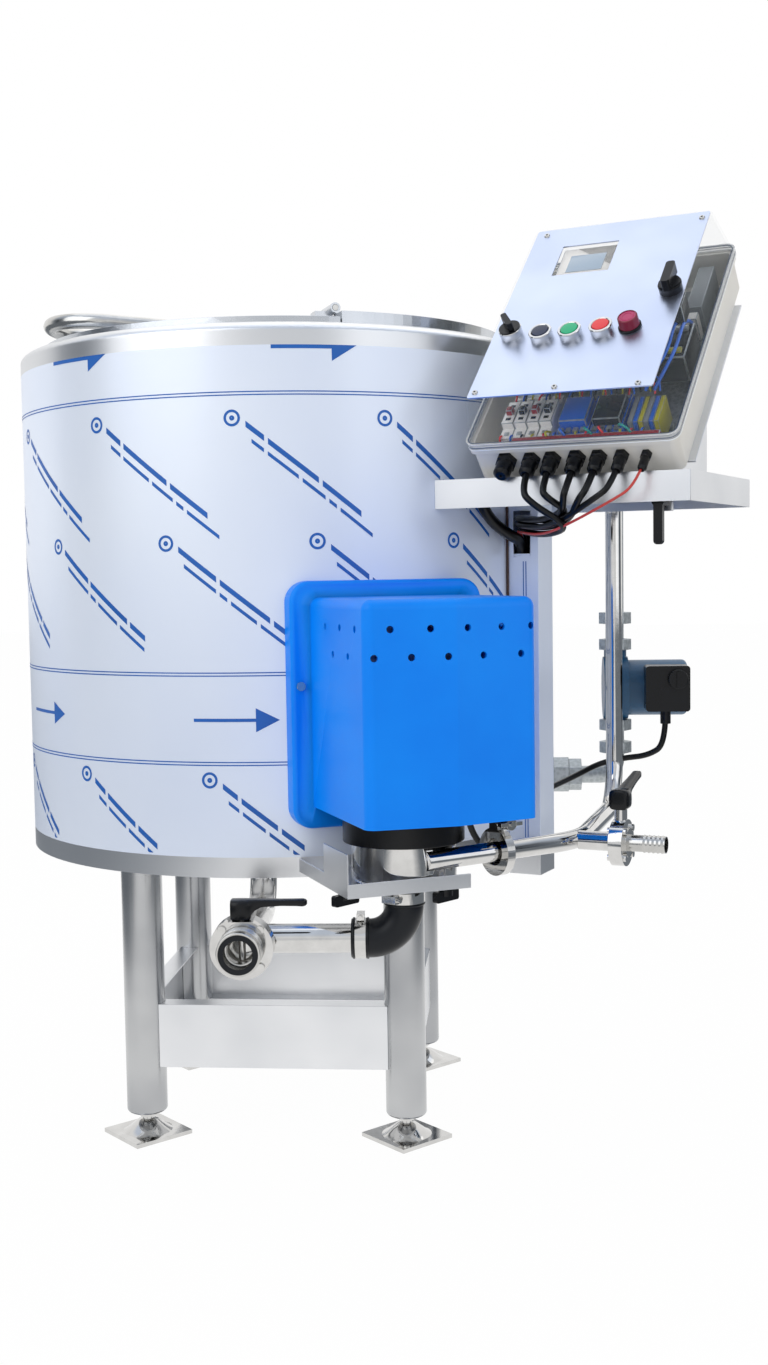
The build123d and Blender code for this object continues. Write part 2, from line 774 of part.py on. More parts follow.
def pump():
    r = volute_r
    z0 = tray_bottom + sheet
    outer = rod(r, z0, volute_top)
    outer = fillet(outer.edges().filter_by(GeomType.CIRCLE).sort_by(Axis.Z)[0], volute_round)
    spout_frame = pump_axis.inverse() * return_frame
    outer_r = return_pipe_od / 2
    spout = spout_frame * rod_x(outer_r, -20, return_clamp_at)
    spout += spout_frame * rod_x(ferrule_r, return_clamp_at - ferrule_t, return_clamp_at)
    spigot_low = drain_z + elbow_bend_r + run_gap
    spigot = rod(milk_pipe_od / 2, spigot_low, z0 + 1)
    cavity = rod(r - volute_wall, z0 + volute_wall, volute_top - volute_wall)
    cavity += rod(milk_pipe_od / 2 - milk_pipe_wall, spigot_low - 1, z0 + volute_wall + 1)
    cavity += spout_frame * rod_x(outer_r - return_pipe_wall, -15, return_clamp_at + 1)
    shaft_hole = rod(shaft_r + shaft_gap, z0 + 10, volute_top + 400)
    save("pump_volute", pump_axis * (outer + spout + spigot - cavity - shaft_hole))

    lantern = rod(lantern_r, volute_top, lantern_top)
    lantern -= rod(lantern_r - lantern_wall, volute_top + lantern_lip, lantern_top - lantern_lip)
    save("pump_lantern", pump_axis * (lantern - shaft_hole))
    motor = rod(motor_r, lantern_top, lantern_top + motor_height)
    motor = fillet(motor.edges().filter_by(GeomType.CIRCLE).sort_by(Axis.Z)[-1], motor_round)
    wide, deep, tall = motor_box
    near = motor_r - motor_box_sink
    low = lantern_top + motor_box_rise
    motor += block(near, near + wide, -deep / 2, deep / 2, low, low + tall)
    motor -= rod(shaft_r + shaft_gap, lantern_top - 1, lantern_top + motor_bore)
    save("pump_motor", pump_axis * motor)
    shaft_low = z0 + volute_wall + 6
    shaft = rod(shaft_r, shaft_low, lantern_top + motor_bore - 1)
    save("pump_shaft", pump_axis * shaft)
    disc_low = shaft_low + 2
    wheel = rod(impeller_r, disc_low, disc_low + impeller_disc_t)
    wheel += rod(shaft_r + 5, shaft_low, shaft_low + impeller_hub_h)
    for step in range(impeller_vanes):
        vane_top = disc_low + impeller_disc_t + impeller_t
        vane = block(shaft_r + 2, impeller_r - 2, -vane_t / 2, vane_t / 2, disc_low + 3, vane_top)
        wheel += Rot(0, 0, 360 / impeller_vanes * step) * vane
    save("pump_impeller", pump_axis * (wheel - shaft))

    tray = block(tray_left, tray_right, -tray_front, -300, tray_bottom, tray_bottom + sheet)
    tray += block(tray_left, tray_right, -tray_front, -tray_front + sheet, tray_bottom, tray_bottom + tray_lip)
    tray += block(tray_left, tray_left + sheet, -tray_front, -300, tray_bottom, tray_bottom + tray_lip)
    tray += block(tray_left, tray_left + sheet, -tray_front, -tray_front + tray_side_depth,
                  tray_bottom, tray_side_top)
    tray = pump_frame * tray - vat_space
    tray -= pump_axis * rod(milk_pipe_od / 2, 0, 600)
    for x, out in knob_places:
        tray -= pump_frame * Pos(x, -out, 0) * rod(stud_r + shaft_gap, tray_bottom - 1, tray_bottom + sheet + 1)
    save("pump_tray", tray)


def wing_knob():
    top = tray_bottom - run_gap
    hub = rod(wing_hub_r, top - wing_hub_h, top)
    wings = Pos(0, 0, top - wing_hub_h) * Box(wing_span, wing_t, wing_h)
    wings = fillet(wings.edges().filter_by(Axis.Y), 3)
    stud = rod(stud_r, top - 2, tray_bottom + sheet)
    return hub + wings + stud


def tray_knobs():
    for name, (x, out) in zip(("wing_knob_left", "wing_knob_right"), knob_places):
        save(name, pump_frame * Pos(x, -out, 0) * Rot(0, 0, 25) * wing_knob())


def hood_profile(inset):
    half = hood_base_half - inset
    corner = hood_corner_half - inset
    points = [(-half, 60), (-corner, -hood_corner_out + inset), (0, -hood_ridge_out + inset),
              (corner, -hood_corner_out + inset), (half, 60)]
    return make_face(Polyline(*points, close=True))


def hood_body(inset, low, high):
    prism = Pos(0, -hood_base, low) * extrude(hood_profile(inset), high - low)
    edges = prism.edges().filter_by(Axis.Z).sort_by(Axis.Y)[:3]
    prism = fillet(edges, hood_edge_round - inset)
    top = prism.faces().sort_by(Axis.Z)[-1].edges().sort_by(Axis.Y)[:-1]
    return fillet(top, hood_edge_round - inset - 1)


def hood_rim(inset):
    half = hood_flange_half - inset
    low = hood_flange_low + inset
    high = hood_flange_high - inset
    face = -hood_base - hood_wall + inset
    rim = block(-half, half, face, -300, low, high)
    rim = fillet(rim.edges().filter_by(Axis.Y), hood_flange_round - inset)
    return fillet(rim.faces().sort_by(Axis.Y)[0].edges(), 6 - inset)


def hood():
    shell = hood_rim(0) + hood_body(0, hood_low, hood_high)
    shell -= hood_rim(hood_wall)
    shell -= hood_body(hood_wall, hood_low - 1, hood_high - hood_wall)
    facet = hypot(hood_corner_half, hood_ridge_out - hood_corner_out)
    lean = degrees(asin((hood_ridge_out - hood_corner_out) / facet))
    ridge = Pos(0, -hood_base - hood_ridge_out, 0)
    for z, places in ((hood_upper_row, hood_upper_holes), (hood_lower_row, hood_lower_holes)):
        for u in places:
            turn = lean if u > 0 else -lean
            shell -= ridge * Rot(0, 0, turn) * rod_y(hood_hole_r, -10, 20, u, z)
    for z, places in ((hood_upper_row, hood_side_upper), (hood_lower_row, hood_side_lower)):
        for back in places:
            y = -hood_base - hood_corner_out + back
            for side in (-1, 1):
                near = side * (hood_base_half - 16)
                far = side * (hood_corner_half + 10)
                shell -= rod_x(hood_hole_r, min(near, far), max(near, far), y, z)
    x = hood_flange_half - hood_screw_inset
    screws = []
    face = -hood_base - hood_wall
    for side in (-1, 1):
        shell -= rod_y(hood_screw_r + shaft_gap, face - 5, face + 10, side * x, hood_screw_z)
        screw = rod_y(hood_screw_head_r, face - 3, face, side * x, hood_screw_z)
        screw += rod_y(hood_screw_r, face - 1, -300, side * x, hood_screw_z)
        screws.append(hood_frame * screw - vat_space)
    save("pump_hood", hood_frame * shell - vat_space)
    save("cover_screws", *screws)


def return_pipe():
    r = return_pipe_od / 2
    wall = return_pipe_wall
    end = side_valve_at - side_valve_length / 2
    outer = return_rod + side_frame * rod_x(r, 0, end)
    outer += clamp_joint * rod_x(ferrule_r, 0, ferrule_t)
    outer += side_frame * rod_x(side_collar_r, end - collar_t, end)
    inner = swept(return_line, r - wall) + side_frame * rod_x(r - wall, 0, end)
    save("discharge_pipe", outer - inner)


def side_valve():
    body, bolts = valve_body(
        side_valve_r, side_valve_length, side_seat_r, side_neck_r, side_neck_top,
        side_stem_r, side_bolt_r, side_bolt_pcd, side_bore_r, side_lever_hub_r + 2)
    save("side_valve_body", *[side_valve_frame * piece for piece in (body, *bolts)])
    disc = valve_disc(
        side_bore_r, side_seat_r, side_disc_t, side_stem_r, side_neck_top + side_lever_hub_h - 3)
    save("side_valve_disc", side_valve_frame * disc)
    handle = Pos(0, 0, side_neck_top + run_gap) * lever(
        side_lever_hub_r, side_lever_hub_h, side_lever_reach, side_lever_rise)
    save("side_valve_lever", side_valve_frame * (handle - disc))
    seats = [
        drain_valve_frame * valve_seat(drain_valve_length, drain_seat_r, drain_bore_r, drain_stem_r),
        side_valve_frame * valve_seat(side_valve_length, side_seat_r, side_bore_r, side_stem_r)]
    save("valve_seats", *seats)
    start = side_valve_at + side_valve_length / 2
    barb = rod_x(barb_od / 2, start, barb_end) + rod_x(side_collar_r, start, start + collar_t)
    for step in range(barb_rings):
        x = barb_end - 2 - step * barb_ring_pitch
        ridge = Rot(0, 90, 0) * Cone(barb_ring_r, barb_od / 2, 3)
        barb += Pos(x - 1.5, 0, 0) * ridge
    save("hose_barb", side_frame * (barb - rod_x(side_bore_r - 1.4, start - 1, barb_end + 1)))


corner_drop = (case_depth - case_low - case_inset) * sin(radians(console_tilt))
shelf_top = console_z - corner_drop
cable_exit_z = column_bottom + 47.0
cable_back_z = column_bottom + 114.0
cable_back_s = column_out - 19.7


def column():
    post = block(vessel_r, column_out, -column_front, column_back, column_bottom, shelf_top - sheet)
    post -= block(vessel_r - 1, column_out - sheet, -column_front + sheet, column_back - sheet,
                  column_bottom - 1, shelf_top)
    window = block(window_s - window_half, window_s + window_half, -column_front - 1, -column_front + 9,
                   window_low, window_high)
    post -= window
    post -= rod_y(cable_radii[1] + cable_hole_gap, -column_front - 5, -column_front + 5, window_s, cable_exit_z)
    post -= rod_y(cable_radii[2] + cable_hole_gap, column_back - 5, column_back + 5, cable_back_s, cable_back_z)
    post = arm_frame * post - vat_space
    trim = block(window_s - window_half, window_s + window_half, -column_front, -column_front + 1.5,
                 window_low, window_low + 4)
    save("service_column", post, arm_frame * trim)

    z1 = shelf_top
    z0 = z1 - shelf_drop
    shelf = block(shelf_inner, shelf_end, -shelf_front, shelf_rear, z1 - sheet, z1)
    shelf += block(shelf_inner, shelf_end, -shelf_front, -shelf_front + sheet, z0, z1)
    shelf += block(shelf_end - sheet, shelf_end, -shelf_front, shelf_rear, z0, z1)
    shelf += block(shelf_inner, shelf_end, shelf_rear - sheet, shelf_rear, z0, z1)
    lug = block(clamp_s - 12, clamp_s + 12, -clamp_p, -clamp_p + clamp_lug, clamp_z - 14, z1 - 1)
    lug -= rod_y(3 + shaft_gap, -clamp_p - 1, -clamp_p + clamp_lug + 1, clamp_s, clamp_z)
    save("console_shelf", arm_frame * (shelf + lug) - vat_space)

    face = -clamp_p - run_gap
    hub = rod_y(clamp_hub_r, face - clamp_hub_l, face, clamp_s, clamp_z)
    arm = block(clamp_s - 6, clamp_s + 6, face - clamp_hub_l, face - clamp_hub_l + 9,
                clamp_z - clamp_arm, clamp_z)
    arm = fillet(arm.edges().filter_by(Axis.Y).group_by(Axis.Z)[0], 5)
    stud = rod_y(3, face - 4, face + clamp_lug + 8, clamp_s, clamp_z)
    nut = Pos(clamp_s, face + clamp_lug + 2 * run_gap, clamp_z) * Rot(-90, 0, 0) * hexagon(10, 0, 5)
    save("clamping_lever", arm_frame * (hub + arm + stud + nut))


def case_box(x, low, high, n0, n1, corner):
    shape = block(-x, x, low, high, n0, n1)
    return fillet(shape.edges().filter_by(Axis.Z), corner)


def tapered(x0, low0, high0, n0, x1, low1, high1, n1, corner):
    def outline(x, low, high, n):
        return Pos(0, (low + high) / 2, n) * RectangleRounded(2 * x, high - low, corner)
    return loft([outline(x0, low0, high0, n0), outline(x1, low1, high1, n1)])


def console_place(x, y, n=0.0):
    return console * Pos(x, y, n)


controls = (selector_at, reset_at, start_at, stop_at, lamp_at, switch_at)


def enclosure():
    half = case_w / 2
    low = case_low
    high = case_high
    inset = case_inset
    base = case_box(half - inset, low + inset, high - inset, -case_depth, -lid_depth - 2, case_corner)
    base += case_box(half, low, high, -lid_depth - case_lip, -lid_depth, case_corner)
    room = inset + case_wall
    base -= case_box(half - room, low + room, high - room, -case_depth + case_wall, 0, case_corner - case_wall)
    save("enclosure_base", console * base)

    top = -plate_t
    w = plate_w / 2 + lid_margin
    lid_low = -lid_margin
    lid_high = plate_h + lid_margin
    t = lid_wall
    outer = tapered(w, lid_low, lid_high, top, half, low, high, -lid_depth, case_corner)
    inner = tapered(w - t, lid_low + t, lid_high - t, top - t, half - t, low + t, high - t, -lid_depth,
                    case_corner - t)
    cover = outer - inner
    plate = block(-plate_w / 2, plate_w / 2, 0, plate_h, -plate_t, 0)
    plate = fillet(plate.edges().filter_by(Axis.Z), 3)
    for x, y in controls:
        hole = rod(bezel_barrel_r, -plate_t - t - 5, 5, x, y)
        cover -= hole
        plate -= hole
    view = block(display_low[0], display_high[0], display_low[1], display_high[1], -plate_t - 1, 1)
    plate -= view
    save("enclosure_lid", console * cover)
    save("face_plate", console * plate)

    gear = []
    floor = -case_depth + case_wall
    plate_top = floor + gear_plate_t
    on_rail = plate_top + rail_t
    gear.append(block(-gear_plate_half, gear_plate_half, *gear_plate_span, floor, plate_top))
    for y in rail_ys:
        gear.append(block(-rail_half, rail_half, y - rail_w / 2, y + rail_w / 2, plate_top, on_rail))
    rows = (
        (4, breaker_at, breaker_w, breaker_pitch, breaker_span),
        (2, contactor_at, contactor_w, contactor_pitch, contactor_span),
        (6, terminal_at, terminal_w, terminal_pitch, terminal_span))
    for count, first, wide, pitch, (y0, y1, tall) in rows:
        for index in range(count):
            x = first + index * pitch
            gear.append(block(x, x + wide, y0, y1, on_rail, floor + tall))
    for x0, x1, y0, y1, tall in (relay_box, supply_box):
        gear.append(block(x0, x1, y0, y1, on_rail, floor + tall))
    wide, high, deep = contact_block
    for x, y in controls:
        gear.append(block(x - wide, x + wide, y - high, y + high, -bezel_barrel - deep, -bezel_barrel))
    gear.append(block(display_low[0] + 2, display_high[0] - 2, display_low[1] + 2, display_high[1] - 2,
                      -plate_t - t - display_depth, -plate_t - t))
    save("control_gear", *[console * piece for piece in gear])

    rings = []
    for x, y in controls:
        bezel = rod(bezel_r, 0, bezel_h) + rod(bezel_barrel_r, -bezel_barrel, 1)
        bezel -= rod(button_r + run_gap, -bezel_barrel - 1, bezel_h + 1)
        rings.append(console_place(x, y) * bezel)
    save("console_bezels", *rings)
    lamp = rod(button_r + run_gap, -bezel_barrel, bezel_h + 6)
    lamp = fillet(lamp.edges().filter_by(GeomType.CIRCLE).sort_by(Axis.Z)[-1], 4)
    save("buzzer_lamp", console_place(*lamp_at) * lamp)
    cap = rod(button_r, button_bottom, button_top)
    cap = fillet(cap.edges().filter_by(GeomType.CIRCLE).sort_by(Axis.Z)[-1], 1.5)
    for name, at in (("start_button", start_at), ("stop_button", stop_at), ("reset_button", reset_at)):
        save(name, console_place(*at) * cap)
    knob = rod(button_r, button_bottom, bezel_h + run_gap)
    knob += rod(bezel_r - 1, bezel_h + run_gap, bezel_h + 5)
    blade = Pos(0, 3, bezel_h + 3 + knob_blade[2] / 2) * Box(*knob_blade)
    blade = fillet(blade.edges().filter_by(Axis.Z), 3)
    save("selector_knob", console_place(*selector_at) * Rot(0, 0, 35) * (knob + blade))
    paddle = Pos(0, 4, bezel_h + 3 + switch_paddle[2] / 2) * Box(*switch_paddle)
    paddle = fillet(paddle.edges().filter_by(Axis.Z), 4)
    save("main_switch_knob", console_place(*switch_at) * (knob + paddle))

    back = -case_depth
    bracket = block(bracket_left, bracket_right, 6, bracket_high, back - bracket_t, back)
    save("console_bracket", console * bracket, *[gusset(x) for x in gusset_x])


def gusset(x):
    def back_point(y):
        return console_place(x, y, -case_depth - bracket_t).position
    high = arm_frame.inverse() * Pos(*back_point(bracket_high))
    toe_y = (shelf_top - console_z) / sin(radians(console_tilt)) + case_depth + bracket_t
    toe = arm_frame.inverse() * Pos(*back_point(toe_y))
    outline = [(toe.position.Y, shelf_top), (high.position.Y, high.position.Z), (high.position.Y, shelf_top)]
    s = console_s + x
    return arm_frame * (Pos(s - bracket_t / 2, 0, 0) * slab(outline, Plane.YZ, bracket_t))


def gland_frame(index):
    low = case_low + case_inset
    return console * Pos(gland_places[index], low, -gland_depth) * Rot(90, 0, 0)


def glands():
    found = []
    for index, r in enumerate(gland_radii):
        gland = hexagon(2 * r * 0.95, 0, gland_hex) + rod(r * 0.85, gland_hex, gland_length - 4)
        gland += Pos(0, 0, gland_length - 2) * Cone(r * 0.85, r * 0.55, 4)
        bore = rod(cable_radii[index], -1, gland_length + 1)
        found.append(gland_frame(index) * (gland - bore))
    water = water_gland_frame * (rod(8, 0, water_gland_length) - rod(cable_radii[2], -1, 60))
    save("cable_glands", *found, water)


water_gland_frame = Pos(water_gland_x, water_gland_y, box_low) * Rot(180, 0, 0)


def bundle_point(s, p, z, across, up):
    side = (0.83, -0.56)
    return arm_point(s + side[0] * across * lane, p + side[1] * across * lane, z + up * lane)


def gland_run(index, across, up):
    start = (gland_frame(index) * Pos(0, 0, 0.01)).position
    out = (gland_frame(index) * Pos(0, 0, gland_length + gland_straight)).position
    local = (arm_frame.inverse() * Pos(*out)).position
    mix_s = (local.X * 2 + bundle_s) / 3
    return [
        start, out, arm_point(mix_s, -local.Y + 4, 922 + up * 4),
        bundle_point(bundle_s, bundle_p, bundle_z, across, up - 1),
        bundle_point(496, 146, 893, across, up - 1),
        bundle_point(436, 84, 900, across, up - 1)]


def column_run(across, up):
    s = window_s + across * lane
    p = column_rear_lane + (2 - up) * lane
    z = entry_z + (up - 1) * lane
    return [arm_point(s - 1, 22, z), arm_point(s, p, z - 14), arm_point(s, p - 1, z - 70)]


def motor_tail(across, up):
    s = window_s + across * lane
    case_x = motor_r - motor_box_sink + motor_box[0]
    case_z = lantern_top + motor_box_rise + motor_box[2] / 2
    return [
        arm_point(s, -1, cable_exit_z + 60), arm_point(window_s, 4, cable_exit_z),
        arm_point(window_s, 38, cable_exit_z), place(pump_frame, 152, -427, 452),
        place(pump_frame, 126, -425, 484), place(pump_frame, 113, -440, 530),
        place(pump_frame, 112, -476, case_z), place(pump_frame, case_x, -476, case_z)]


def water_tail(across, up):
    s = window_s + across * lane
    return [
        arm_point(s, column_rear_lane, cable_back_z + 60), arm_point(cable_back_s, -8, cable_back_z),
        arm_point(cable_back_s, -48, cable_back_z), Vector(450, -42, 520), Vector(492, -2, 536),
        Vector(530, 4, 543), Vector(566, -6, 548), Vector(water_gland_x, water_gland_y, 566),
        Vector(water_gland_x, water_gland_y, box_low - 0.01)]


def cables():
    found = []

    def lay(name, points, r):
        radii = cable_radius(points)
        line = path(points, radii)
        solid = swept(line, r)
        ratio = solid.volume / (line.length * pi * r * r)
        print(name, [round(value) for value in radii], round(line.length), round(ratio, 4))
        found.append(solid)

    lanes = ((1, 0.5, 0), (2, 0.5, 2), (3, -0.5, 2), (4, 0.5, 1), (5, -0.5, 1))
    tails = {1: motor_tail, 2: water_tail}
    for index, across, up in lanes:
        points = gland_run(index, across, up) + column_run(across, up)
        if index in tails:
            points += tails[index](across, up)
        lay("cable_%d" % (index + 1), points, cable_radii[index])
    thin = gland_run(6, -0.5, 0) + [arm_point(window_s - 5, 22, entry_z - lane), arm_point(window_s - 6, -2, 870)]
    lay("thin_cable", thin, cable_radii[6])
    corner = vat_r + cable_radii[0] + run_gap
    lead_p = column_front + cable_radii[0] + run_gap
    lead_s = sqrt(corner * corner - lead_p * lead_p)
    lay("lead", [arm_point(lead_s, lead_p, z) for z in (shelf_top - sheet, 470)], cable_radii[0])
    harness = [
        arm_point(392, 124, shelf_top - sheet), arm_point(392, 124, 934), arm_point(398, 92, 904),
        arm_point(411, 56, 886), arm_point(window_s - 1, 30, 880), arm_point(window_s - 5, 14, 862),
        arm_point(window_s - 5, 13, 815)]
    lay("harness", harness, harness_r)
    save("control_cables", *found)


def heating_circuit():
    half = circulator_w / 2
    body = rod_x(circulator_r, water_x - half, water_x + half, water_y, pump_z)
    low = union_zs[1][0]
    high = union_zs[2][1]
    body += rod(water_pipe_od / 2 + 4, low, high, water_x, water_y)
    room = rod_x(circulator_r - 6, water_x - half + 4, water_x + half - 6, water_y, pump_z)
    bore = rod(water_pipe_od / 2 - water_pipe_wall, low - 1, high + 1, water_x, water_y)
    shaft_x0 = water_x - half + 8
    shaft_x1 = circulator_end - 14
    hole = rod_x(rotor_shaft_r + shaft_gap, water_x, circulator_end - 12, water_y, pump_z)
    save("circulator_body", body - room - (bore - room) - hole)

    back = water_x + half
    motor = rod_x(circulator_motor_r, back, circulator_end, water_y, pump_z)
    motor = fillet(motor.edges().filter_by(GeomType.CIRCLE).sort_by(Axis.X)[-1], 8)
    motor_solid = motor
    can = rod_x(rotor_r + 1, back + 4, circulator_end - 20, water_y, pump_z)
    save("circulator_motor", motor - can - hole)
    rotor = rod_x(rotor_shaft_r, shaft_x0, shaft_x1, water_y, pump_z)
    rotor += rod_x(rotor_r, back + 6, circulator_end - 24, water_y, pump_z)
    rotor += rod_x(circulator_r - 14, shaft_x0, shaft_x0 + 12, water_y, pump_z)
    save("circulator_rotor", rotor)

    box = block(box_left, box_right, box_front, water_y - 30, box_low, box_high)
    box = fillet(box.edges().filter_by(Axis.Y), 5)
    box = box - motor_solid
    shaft = rod_y(4 + shaft_gap, box_front - 1, box_front + 14, circulator_knob_x, circulator_knob_z)
    save("circulator_terminal_box", box - shaft)
    front = box_front - run_gap
    knob = rod_y(circulator_knob_r, front - circulator_knob_t, front, circulator_knob_x, circulator_knob_z)
    knob = fillet(knob.edges().filter_by(GeomType.CIRCLE).sort_by(Axis.Y)[0], 1.5)
    grip = block(circulator_knob_x - 2.5, circulator_knob_x + 2.5, front - circulator_knob_t - 3, front - 4,
                 circulator_knob_z - 12, circulator_knob_z + 12)
    stem = rod_y(4, front - 1, box_front + 13, circulator_knob_x, circulator_knob_z)
    save("circulator_knob", knob + grip + stem)

    r = water_pipe_od / 2
    start = jacket_r - sheet - 4
    lower_points = [(start, water_y, water_low), (water_x, water_y, water_low),
                    (water_x, water_y, union_zs[1][0])]
    upper_points = [(water_x, water_y, union_zs[2][1]), (water_x, water_y, water_high),
                    (start, water_y, water_high)]
    found = []
    for points in (lower_points, upper_points):
        line = path(points, [24])
        found.append(swept(line, r) - swept(line, r - water_pipe_wall))
    outer_r = r + 4
    for index, (z0, z1) in enumerate(union_zs):
        hole_r = outer_r if index in (1, 2) else r
        nut = hexagon(union_af, z0, z1) - rod(hole_r, z0 - 1, z1 + 1)
        found.append(Pos(water_x, water_y, 0) * nut)
    x0, x1, x2 = wall_union
    for a, b, af in ((x0, x1, wall_union_af), (x1, x2, union_af)):
        nut = hexagon(af, 0, b - a) - rod(r, -1, b - a + 1)
        found.append(Pos(a, water_y, water_low) * Rot(0, 90, 0) * nut)
    save("jacket_pipework", *found)


os.makedirs("parts", exist_ok=True)
vat()
heaters()
stand()
lid()
drain_line()
clamps()
pump()
tray_knobs()
hood()
return_pipe()
side_valve()
column()
enclosure()
glands()
cables()
heating_circuit()
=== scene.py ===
# Vat pasteurizer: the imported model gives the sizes, this script gives the finishes and the small parts.
import bmesh
import bpy
import json
import math
import random
from mathutils import Matrix, Vector

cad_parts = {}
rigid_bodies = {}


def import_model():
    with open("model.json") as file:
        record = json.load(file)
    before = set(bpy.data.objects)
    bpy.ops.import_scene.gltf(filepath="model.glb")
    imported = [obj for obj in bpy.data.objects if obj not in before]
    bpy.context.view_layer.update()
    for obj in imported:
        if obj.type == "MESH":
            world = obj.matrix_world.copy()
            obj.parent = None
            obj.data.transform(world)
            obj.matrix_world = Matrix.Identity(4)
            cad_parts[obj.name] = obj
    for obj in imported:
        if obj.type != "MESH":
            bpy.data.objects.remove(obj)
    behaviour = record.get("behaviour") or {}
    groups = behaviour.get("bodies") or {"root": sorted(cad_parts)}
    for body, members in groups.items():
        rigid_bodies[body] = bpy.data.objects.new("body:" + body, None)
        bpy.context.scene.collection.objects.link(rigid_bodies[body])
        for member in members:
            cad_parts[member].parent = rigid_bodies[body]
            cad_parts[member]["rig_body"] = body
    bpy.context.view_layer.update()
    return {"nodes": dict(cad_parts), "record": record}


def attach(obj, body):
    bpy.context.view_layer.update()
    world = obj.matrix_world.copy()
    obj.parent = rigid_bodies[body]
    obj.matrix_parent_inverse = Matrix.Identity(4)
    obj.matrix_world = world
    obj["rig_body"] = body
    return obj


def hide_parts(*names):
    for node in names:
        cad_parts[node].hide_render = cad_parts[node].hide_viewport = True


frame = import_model()
scene = bpy.context.scene
slotOf = {part["node"]: part["material_slot"] for part in frame["record"]["subparts"]}
mm = 0.001
toMetres = Matrix.Scale(mm, 4)
white = (1, 1, 1, 1)

photoView = {
    "place": (0.3653, -2.3912, 0.8399),  # where the camera stood, in metres
    "heading": 5.0,                      # degrees to the left of straight ahead
    "tiltDown": 4.1815,
    "roll": -0.8724,
    "lens": 40.38,
    "sensor": 36.0,
}

studio = {
    "paper": "#f4f4f4",
    "paperGlow": 0.98,
    "paperHalf": (0.95, 1.6),    # half width of the white paper that metal mirrors, and its fade, in m
    "offPaper": "#7a8087",
    "worldLight": 0.66,
    # what metal mirrors, from the room behind the camera (0) to the white backdrop (1)
    "mirrored": ((0.0, "#ffffff"), (0.2, "#f2f4f8"), (0.36, "#9aa0a8"), (0.5, "#43484f"), (0.6, "#8d949d"),
                 (0.72, "#ffffff"), (1.0, "#ffffff")),
    "ceiling": (0.35, 0.75),     # heights at which the mirrored ceiling begins, and is all there is
    "ceilingColour": "#d6e0f0",
    "backdrop": (0.62, 0.72),    # where on the mirrored scale the white backdrop takes over
    "patchScale": 1.6,
    "patchShade": "#b4bac2",
    # power, size and place of each lamp
    "lamps": {"key": (50.0, 3.6, (-2.4, -2.6, 3.0)), "fill": (15.0, 2.6, (3.0, -2.2, 1.9)),
              "top": (16.0, 3.2, (0.2, 0.6, 3.4))},
    "aim": (0.1, -0.1, 0.8),
    "floorSize": 40.0,
}

heading = math.radians(photoView["heading"])
viewAhead = Vector((-math.sin(heading), math.cos(heading), 0.0))
viewRight = Vector((math.cos(heading), math.sin(heading), 0.0))


def linearColour(code):
    channels = [int(code[i:i + 2], 16) / 255 for i in (1, 3, 5)]
    return (*[c / 12.92 if c <= 0.04045 else ((c + 0.055) / 1.055) ** 2.4 for c in channels], 1.0)


def addNode(tree, kind, inputs=None, **settings):
    node = tree.nodes.new(kind)
    for key, value in settings.items():
        setattr(node, key, value)
    for key, value in (inputs or {}).items():
        socket = node.inputs[key]
        if isinstance(value, bpy.types.NodeSocket):
            tree.links.new(value, socket)
        else:
            socket.default_value = value
    return node


def addMath(tree, operation, *inputs):
    return addNode(tree, "ShaderNodeMath", dict(enumerate(inputs)), operation=operation).outputs[0]


def alongAxis(tree, place, axis):
    return addNode(tree, "ShaderNodeVectorMath", {0: place, 1: axis},
                   operation="DOT_PRODUCT").outputs["Value"]


def mixColour(tree, share, first, second, blend="MIX"):
    return addNode(tree, "ShaderNodeMix", {0: share, 6: first, 7: second},
                   data_type="RGBA", blend_type=blend).outputs[2]


def mixLight(tree, share, first, second):
    return addNode(tree, "ShaderNodeMixShader", {"Fac": share, 1: first, 2: second}).outputs[0]


def addLight(tree, kind, colour, strength):
    return addNode(tree, kind, {"Color": colour, "Strength": strength}).outputs[0]


def ownPlace(tree):
    return addNode(tree, "ShaderNodeTexCoord").outputs["Object"]


# A material starts here: a plain shader with the real stuff's own values.
def newMaterial(name, colour, metallic=0.0, roughness=0.5, **sockets):
    material = bpy.data.materials.new(name)
    material.use_nodes = True
    shader = material.node_tree.nodes["Principled BSDF"]
    values = {"Base Color": linearColour(colour), "Metallic": metallic, "Roughness": roughness, **sockets}
    for key, value in values.items():
        shader.inputs[key].default_value = value
    return material, material.node_tree, shader


# Noise on the piece's own coordinates. stretch is in lines per metre on each axis.
def surfaceNoise(tree, stretch, detail=3.0):
    mapped = addNode(tree, "ShaderNodeMapping", {"Vector": ownPlace(tree), "Scale": stretch})
    noise = addNode(tree, "ShaderNodeTexNoise", {"Vector": mapped.outputs[0], "Scale": 1.0, "Detail": detail})
    return noise.outputs["Fac"]


def spread(tree, value, low, high):
    return addNode(tree, "ShaderNodeMapRange", {"Value": value, "To Min": low, "To Max": high}).outputs[0]


# From 0 to 1 while the value goes from low to high.
def fade(tree, value, low, high):
    return addNode(tree, "ShaderNodeMapRange", {0: value, 1: low, 2: high}).outputs[0]


def tint(tree, factor, first, second):
    ramp = addNode(tree, "ShaderNodeValToRGB", {"Fac": factor})
    for stop, colour, place in zip(ramp.color_ramp.elements, (first, second), (0.3, 0.7)):
        stop.color = linearColour(colour)
        stop.position = place
    return ramp.outputs[0]


# Ties patterns to a shader's sockets, and one of them to a relief so many metres deep.
def feed(tree, shader, height, depth, patterns):
    bump = addNode(tree, "ShaderNodeBump", {"Height": height, "Distance": depth, "Strength": 1.0})
    for key, value in {**patterns, "Normal": bump.outputs[0]}.items():
        tree.links.new(value, shader.inputs[key])


